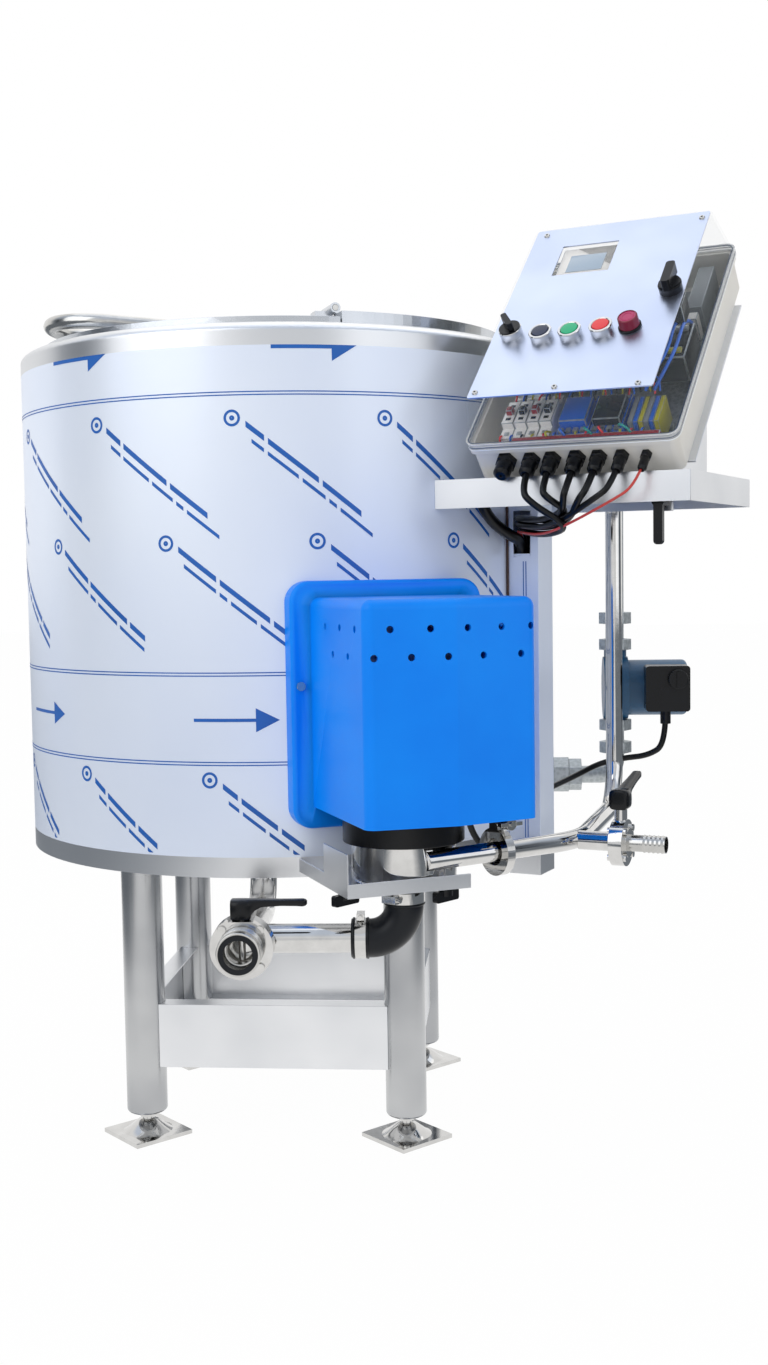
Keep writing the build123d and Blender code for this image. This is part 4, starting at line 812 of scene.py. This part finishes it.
def buildLidRim():
    v = lidRim
    (x0, x1), (y0, y1), (_, edge) = consoleBox("enclosure_base")
    lidX = consoleBox("enclosure_lid")[0]
    half, middle = (x1 - x0) / 2, (x0 + x1) / 2
    gap = min(half - (lidX[1] - lidX[0]) / 2, 6.0)
    low, high, wide = v["flange"]
    rim = bmesh.new()
    # how far each band's sides stand beyond the case, its heights over the edge, and its finish; the bands of
    # the second finish are white strips painted as highlights on the clear flange's edges
    for outer, inner, z0, z1, index in (
            (wide, -gap, 0.2, high, 0),
            (wide + 0.3, wide - 2 * v["light"], high, high + 0.8, 1),
            (wide - 2.4, wide - 2.4 - 2 * v["gasket"], high, high + 0.5, 2),
            (wide + 0.3, wide, low, low + 1.6, 1),
            (wide + 0.25, wide, 3.2, 4.4, 2),
            (-gap + 1.6, -gap, high, high + 0.8, 1)):
        addSkin(rim, [
            [(x + middle, y, edge + z)
             for x, y in roundedLoop(half + grow, y0 - grow, y1 + grow, v["corner"] + grow, v["steps"])]
            for grow, z in ((outer, z0), (outer, z1), (inner, z1), (inner, z0))], index)
    makePiece("lidRim", rim, ("clearRim", "rimPaintedHighlight", "rimDark"), consoleMatrix, 30.0,
              slot=slotOf["enclosure_lid"])


cables = {
    "glandX": (-59.0, -30.0, 4.0, 34.0, 65.0, 98.0),
    "glandY": -12.0,
    "glandZ": -98.0,
    "straight": 59.0,
    # the bundle's turning points (along the arm, out from it, height), and the distance between its lanes
    "bundle": ((546.0, 194.0, 902.0), (496.0, 146.0, 893.0), (436.0, 84.0, 900.0)),
    "lane": 9.4,
    "window": 415.0,
    "entry": 903.0,
    "rear": -19.0,
    "pumpTurn": 26.0,
    # name, gland, lane across, lane up, radius and length in mm, finish
    "list": (
        ("motorCable", 0, 0.5, 0, 4.5, 1158, "cable"),
        ("circulatorCable", 1, 0.5, 2, 4.5, 1083, "cable"),
        ("heaterCable", 2, -0.5, 2, 4.5, 417, "cable"),
        ("supplyCable", 3, 0.5, 1, 4.5, 423, "cable"),
        ("sensorCable", 4, -0.5, 1, 4.0, 452, "cable"),
    ),
}


# From a gland down to the bundle and along it to the column's window.
def glandRun(gland, across, up):
    v = cables
    x, y, z = v["glandX"][gland], v["glandY"], v["glandZ"]
    start = consoleMatrix @ Vector((x, y, z))
    out = consoleMatrix @ Vector((x, y - v["straight"], z))
    local = turned(-arm["turn"]) @ (out / mm)
    points = [start, out, armPoint((2 * local.x + v["bundle"][0][0]) / 3, 4 - local.y, 922 + 4 * up)]
    for s, p, height in v["bundle"]:
        points.append(armPoint(s + 0.83 * across * v["lane"], p - 0.56 * across * v["lane"],
                               height + (up - 1) * v["lane"]))
    return points


def columnRun(across, up):
    v = cables
    s = v["window"] + across * v["lane"]
    p = v["rear"] + (2 - up) * v["lane"]
    z = v["entry"] + (up - 1) * v["lane"]
    return [armPoint(s - 1, 22, z), armPoint(s, p, z - 14), armPoint(s, p - 1, z - 70)]


def motorTail(across):
    v = cables
    inside = [armPoint(v["window"] + across * v["lane"], -1, 504), armPoint(v["window"], 4, 444)]
    places = ((152, -427, 452), (126, -425, 484), (113, -440, 530), (112, -476, 601), (80, -476, 601))
    outside = [turned(v["pumpTurn"]) @ Vector(place) * mm for place in places]
    return [*inside, armPoint(v["window"], 38, 444), *outside]


def circulatorTail(across):
    v = cables
    inside = [armPoint(v["window"] + across * v["lane"], v["rear"], 571), armPoint(420.3, -8, 511)]
    places = ((450, -42, 520), (492, -2, 536), (530, 4, 543), (566, -6, 548), (592, -12, 566),
              (592, -12, 617.99))
    return [*inside, armPoint(420.3, -48, 511), *[Vector(place) * mm for place in places]]


# A cable as one smooth line of its real length and thickness.
def layCable(name, points, radius, finishName):
    curve = newCurve(name, radius * mm, 4, 12)
    curve.use_fill_caps = True
    addRun(curve, points)
    piece = newPiece(name, curve, [finishName])
    settle(piece, node="control_cables")


def buildCables():
    v = cables
    tails = {"motorCable": motorTail, "circulatorCable": circulatorTail}
    for name, gland, across, up, radius, length, finishName in v["list"]:
        points = glandRun(gland, across, up) + columnRun(across, up)
        if name in tails:
            points += tails[name](across)
        layCable(name, points, radius, finishName)
    thin = glandRun(5, -0.5, 0) + [armPoint(410, 22, 893.6), armPoint(409, -2, 870)]
    layCable("thinCable", thin, 1.75, "redCable")
    lead = [armPoint(393.48, 29.05, z) for z in (959.09, 714.5, 470)]
    layCable("lead", lead, 1.75, "brownCable")
    harness = ((392, 124, 959.09), (392, 124, 934), (398, 92, 904), (411, 56, 886), (414, 30, 880),
               (410, 14, 862), (410, 13, 815))
    layCable("harness", [armPoint(*place) for place in harness], 8.0, "cable")


plateScrews = {
    "places": ((-109, 355), (116, 354), (-116, 10), (-6, 10), (105, 6)),
    # finish, slot, radius, height and sides
    "heads": {"plateScrews": ("satinMetal", "polished_steel", 4.4, 2.0, 24),
              "plateScrewSockets": ("nylon", "black_plastic", 2.2, 2.1, 6)},
}


# Puts a short round head on every point that it is given.
def headTree(name, finishName):
    tree, source = newGroup(name, {"Radius": "Float", "Height": "Float", "Sides": "Int"})
    top = addMath(tree, "MULTIPLY", source["Radius"], 0.8)
    head = addNode(tree, "GeometryNodeMeshCone", {
        "Vertices": source["Sides"], "Radius Top": top, "Radius Bottom": source["Radius"],
        "Depth": source["Height"]}).outputs["Mesh"]
    return closeGroup(tree, addNode(tree, "GeometryNodeInstanceOnPoints", {
        "Points": source["Geometry"], "Instance": head}), finishName)


def buildPlateScrews():
    for name, (finishName, slot, radius, height, sides) in plateScrews["heads"].items():
        data = bpy.data.meshes.new(name)
        data.from_pydata([(x, y, 0.0) for x, y in plateScrews["places"]], [], [])
        piece = newPiece(name, data)
        runTree(piece, headTree(name, finishName), {"Radius": radius, "Height": height, "Sides": sides})
        piece.data.transform(consoleMatrix)
        shadeSmooth(piece, 30.0)
        settle(piece, slot)


print("console details")
buildControlGear()
buildWires()
buildPlateScrews()
buildCables()
buildControls()
buildLidRim()


def rayKinds(tree):
    path = addNode(tree, "ShaderNodeLightPath").outputs
    return path["Is Glossy Ray"], addMath(tree, "MAXIMUM", path["Is Camera Ray"], path["Is Transmission Ray"])


# The floor is white paper: half its white is its own, so that the soft shadow stays.
def buildFloor():
    v = studio
    material, tree, shader = newMaterial("floor paper", v["paper"], 0.0, 0.9)
    grain = surfaceNoise(tree, (400, 400, 400), 2.0)
    tree.links.new(spread(tree, grain, 0.85, 0.95), shader.inputs["Roughness"])
    glossy, seen = rayKinds(tree)
    away = addMath(tree, "ABSOLUTE", alongAxis(tree, ownPlace(tree), viewRight))
    ground = mixColour(tree, fade(tree, away, *v["paperHalf"]), white, linearColour(v["offPaper"]))
    mirrored = addLight(tree, "ShaderNodeEmission", ground, v["paperGlow"])
    plain = mixLight(tree, glossy, shader.outputs[0], mirrored)
    share = addMath(tree, "MULTIPLY", seen, v["paperGlow"])
    shown = mixLight(tree, share, plain, addLight(tree, "ShaderNodeEmission", white, 1.0))
    tree.links.new(shown, tree.nodes["Material Output"].inputs["Surface"])
    mesh = bmesh.new()
    bmesh.ops.create_grid(mesh, x_segments=1, y_segments=1, size=v["floorSize"] / 2)
    floor = newPiece("floor", plainMesh("floor", mesh))
    floor.data.materials.append(material)


# White behind the object; round it a room of bright and grey walls, for the bare metal.
def buildRoom():
    v = studio
    world = bpy.data.worlds.new("studio")
    scene.world = world
    world.use_nodes = True
    tree = world.node_tree
    where = addNode(tree, "ShaderNodeTexCoord").outputs["Generated"]
    side = addMath(tree, "MULTIPLY_ADD", alongAxis(tree, where, viewAhead), 0.5, 0.5)
    ramp = addNode(tree, "ShaderNodeValToRGB", {"Fac": side})
    stops = ramp.color_ramp.elements
    stops[0].color = linearColour(v["mirrored"][0][1])
    stops[1].color = linearColour(v["mirrored"][-1][1])
    for place, colour in v["mirrored"][1:-1]:
        stops.new(place).color = linearColour(colour)
    patches = addNode(tree, "ShaderNodeTexNoise", {"Vector": where, "Scale": v["patchScale"], "Detail": 1.0})
    uneven = spread(tree, patches.outputs["Fac"], -0.6, 1.2)
    room = mixColour(tree, uneven, ramp.outputs[0], linearColour(v["patchShade"]), "MULTIPLY")
    height = addNode(tree, "ShaderNodeSeparateXYZ", {0: where}).outputs["Z"]
    over = mixColour(tree, fade(tree, height, *v["ceiling"]), room, linearColour(v["ceilingColour"]))
    mirrored = mixColour(tree, fade(tree, side, *v["backdrop"]), over, white)
    glossy, seen = rayKinds(tree)
    around = mixLight(tree, glossy, addLight(tree, "ShaderNodeBackground", white, v["worldLight"]),
                      addLight(tree, "ShaderNodeBackground", mirrored, 1.0))
    shown = mixLight(tree, seen, around, addLight(tree, "ShaderNodeBackground", white, 1.0))
    tree.links.new(shown, tree.nodes["World Output"].inputs["Surface"])


def buildLamps():
    for name, (power, size, place) in studio["lamps"].items():
        lamp = bpy.data.lights.new(name, "AREA")
        lamp.energy = power
        lamp.size = size
        holder = newPiece(name, lamp)
        holder.location = place
        holder.rotation_euler = (Vector(studio["aim"]) - holder.location).to_track_quat("-Z", "Y").to_euler()


def buildCamera():
    v = photoView
    tilt, roll = math.radians(v["tiltDown"]), math.radians(v["roll"])
    ahead = viewAhead * math.cos(tilt) - Vector((0, 0, math.sin(tilt)))
    up = viewRight.cross(ahead)
    turnedRight = math.cos(roll) * viewRight + math.sin(roll) * up
    turnedUp = math.cos(roll) * up - math.sin(roll) * viewRight
    data = bpy.data.cameras.new("photo camera")
    data.lens = v["lens"]
    data.sensor_width = v["sensor"]
    data.clip_start, data.clip_end = 0.05, 60.0
    camera = newPiece("photo camera", data)
    matrix = Matrix((turnedRight, turnedUp, -ahead)).transposed().to_4x4()
    matrix.translation = Vector(v["place"])
    camera.matrix_world = matrix
    scene.camera = camera


lines = {
    "drainStart": (2.0, -255.0, 366.0),
    "drainTurn": 2.8,
    "drainValve": 243.0,
    "drainTee": 201.098,
    "drainNeck": 34.3,
    "suctionEnd": 160.85,
    "elbowX": 205.85,
    "elbowTop": 55.0,
    "returnStart": (264.0, -492.0, 477.0),
    "returnTurn": 38.0,
    "returnFork": 230.8,
    "forkTurn": -58.0,
    "sideValve": 57.0,
    "sideNeck": 44.3,
}
drainMatrix = moved(*lines["drainStart"]) @ turned(lines["drainTurn"])
drainValveMatrix = drainMatrix @ moved(0, -lines["drainValve"])
returnMatrix = moved(*lines["returnStart"]) @ turned(lines["returnTurn"])
forkMatrix = returnMatrix @ moved(lines["returnFork"]) @ turned(lines["forkTurn"])
sideValveMatrix = forkMatrix @ moved(lines["sideValve"]) @ turned(90)

leverShape = {
    # along the arm, half width, underside and top, all in mm
    "sections": (
        (-13.8, 8.0, 8.0, 24.0), (-13.4, 11.0, 2.0, 26.2), (-12.0, 12.8, 0.2, 27.0), (-4.0, 13.8, 0.0, 27.0),
        (5.0, 13.6, 0.0, 27.0), (11.0, 11.4, 0.4, 27.0), (13.0, 10.0, 7.0, 27.0), (18.0, 9.2, 13.0, 27.0),
        (26.0, 8.6, 17.0, 26.8), (50.0, 7.4, 18.4, 26.4), (70.0, 6.8, 18.0, 26.6), (78.0, 6.6, 17.4, 26.8),
        (81.5, 5.4, 18.2, 26.0), (83.4, 3.2, 20.0, 24.2)),
    "corner": 0.2,    # how round the cross-section is, from 0 to 1
    "sides": 24,
}


# A moulded lever: cross-sections along the arm with round corners, closed at both ends.
def buildLever(name, node, matrix, neck, rise):
    v = leverShape
    lean = math.tan(math.radians(rise))
    power = 2 * v["corner"] + 0.12
    rows = []
    for x, half, low, high in v["sections"]:
        middle = (low + high) / 2 + max(0.0, x - 12.0) * lean
        row = []
        for t in turns(v["sides"]):
            c, d = (math.copysign(abs(f) ** power, f) for f in (math.cos(t), math.sin(t)))
            row.append((x, half * c, middle + (high - low) / 2 * d))
        rows.append(row)
    mesh = bmesh.new()
    rows = addSkin(mesh, rows, shut=False)
    mesh.faces.new(rows[0])
    mesh.faces.new(list(reversed(rows[-1])))
    makePiece(name, mesh, ["nylon"], toMetres @ matrix @ moved(0, 0, neck), 50.0, node=node)


# Turns a closed (radius, y) outline about the matrix's Y axis.
def addHoop(mesh, matrix, outline, sides=64):
    addSkin(mesh, [[matrix @ Vector((r * math.cos(t), y, r * math.sin(t))) for t in turns(sides)]
                   for r, y in outline])


# A round bead, as on the end of a moulded rubber elbow.
def addBead(mesh, matrix, radius, bead, y, around=10):
    addHoop(mesh, matrix, [(radius + bead * math.cos(t), y + bead * math.sin(t)) for t in turns(around)])


nippleFace = {
    "front": -45.0,          # the nipple's end, from the middle of the valve
    # gasket, and a dark ring deep in the bore as painted shade: outer and inner radius, from and to, measured
    # from the end
    "rings": ((25.4, 18.4, -0.5, 0.4), (20.4, 19.4, 20.0, 30.0)),
    # outer and inner thread: turns, radius, depth, first place, pitch and steps round a turn
    "threads": ((6, 28.0, 0.9, -17.0, -2.6, 10), (8, 20.0, 0.5, -43.0, 2.2, 6)),
}


def buildNipple():
    v = nippleFace
    matrix = toMetres @ drainValveMatrix
    seal = bmesh.new()
    # the gasket, and a rubber ring deep in the bore that is painted shade
    for outer, inner, low, high in v["rings"]:
        y0, y1 = v["front"] + low, v["front"] + high
        addHoop(seal, Matrix(), ((outer, y0), (outer, y1), (inner, y1), (inner, y0)))
    makePiece("nippleGasketAndBoreShade", seal, ["rubber"], matrix, slot="rubber")
    threads = bmesh.new()
    for count, radius, deep, first, pitch, around in v["threads"]:
        for i in range(count):
            addBead(threads, Matrix(), radius, deep, first + i * pitch, around)
    makePiece("nippleThreads", threads, ["satinMetal"], matrix, slot="polished_steel")


elbowBeads = {
    "hoseR": 25.0,
    "bead": 1.9,
    "grip": 24.0,
    "bandHalf": 9.0,
}


def buildElbowBeads():
    v = elbowBeads
    side = drainMatrix @ moved(lines["suctionEnd"] - v["grip"] / 2, -lines["drainTee"]) @ turned(-90)
    top = (drainMatrix @ moved(lines["elbowX"], -lines["drainTee"], lines["elbowTop"])
           @ Matrix.Rotation(math.pi / 2, 4, "X"))
    beads = bmesh.new()
    for matrix, y in ((side, -v["bandHalf"]), (side, v["bandHalf"]), (top, -v["bandHalf"])):
        addBead(beads, matrix, v["hoseR"], v["bead"], y)
    makePiece("elbowBeads", beads, ["rubber"], toMetres, slot="rubber")


columnLines = {
    "s": (417.0, 421.0),
    "width": 1.5,
    "face": 27.15,
    "low": 447.0,
    "high": 850.0,
}


def buildColumnLines():
    v = columnLines
    mesh = bmesh.new()
    for s in v["s"]:
        left, right = s - v["width"] / 2, s + v["width"] / 2
        corners = ((left, v["low"]), (right, v["low"]), (right, v["high"]), (left, v["high"]))
        mesh.faces.new([mesh.verts.new(armPoint(u, v["face"], z)) for u, z in corners])
    makePiece("columnFilmLines", mesh, ["ink"], smooth=0, slot="film")


footDome = {
    "outline": ((0, 17.6), (10.0, 17.2), (15.0, 15.2), (22.0, 9.8), (29.0, 4.6), (34.0, 1.4),
                (37.0, 0.0), (0, 0.0)),
    "plateTop": 6.0,
}


def buildFootDomes():
    v = footDome
    low = [corner.co for corner in frame["nodes"]["levelling_feet"].data.vertices if corner.co.z < 0.0005]
    domes = bmesh.new()
    for sx, sy in ((-1, -1), (1, -1), (1, 1), (-1, 1)):
        near = [c for c in low if c.x * sx > 0 and c.y * sy > 0]
        x, y = ((min(c[i] for c in near) + max(c[i] for c in near)) / 2 / mm for i in (0, 1))
        addTurned(domes, moved(x, y, v["plateTop"]), v["outline"])
    makePiece("footDomes", domes, ["buffed"], toMetres, 60.0, slot=slotOf["levelling_feet"])


print("feet, levers, threads and rubber beads")
buildFootDomes()
buildLever("drainLever", "drain_valve_lever", drainValveMatrix, lines["drainNeck"], 0)
buildLever("sideLever", "side_valve_lever", sideValveMatrix, lines["sideNeck"], 12)
buildNipple()
buildElbowBeads()
buildColumnLines()


print("camera and light")
buildCamera()
buildFloor()
buildRoom()
buildLamps()
scene.view_settings.view_transform = "Standard"
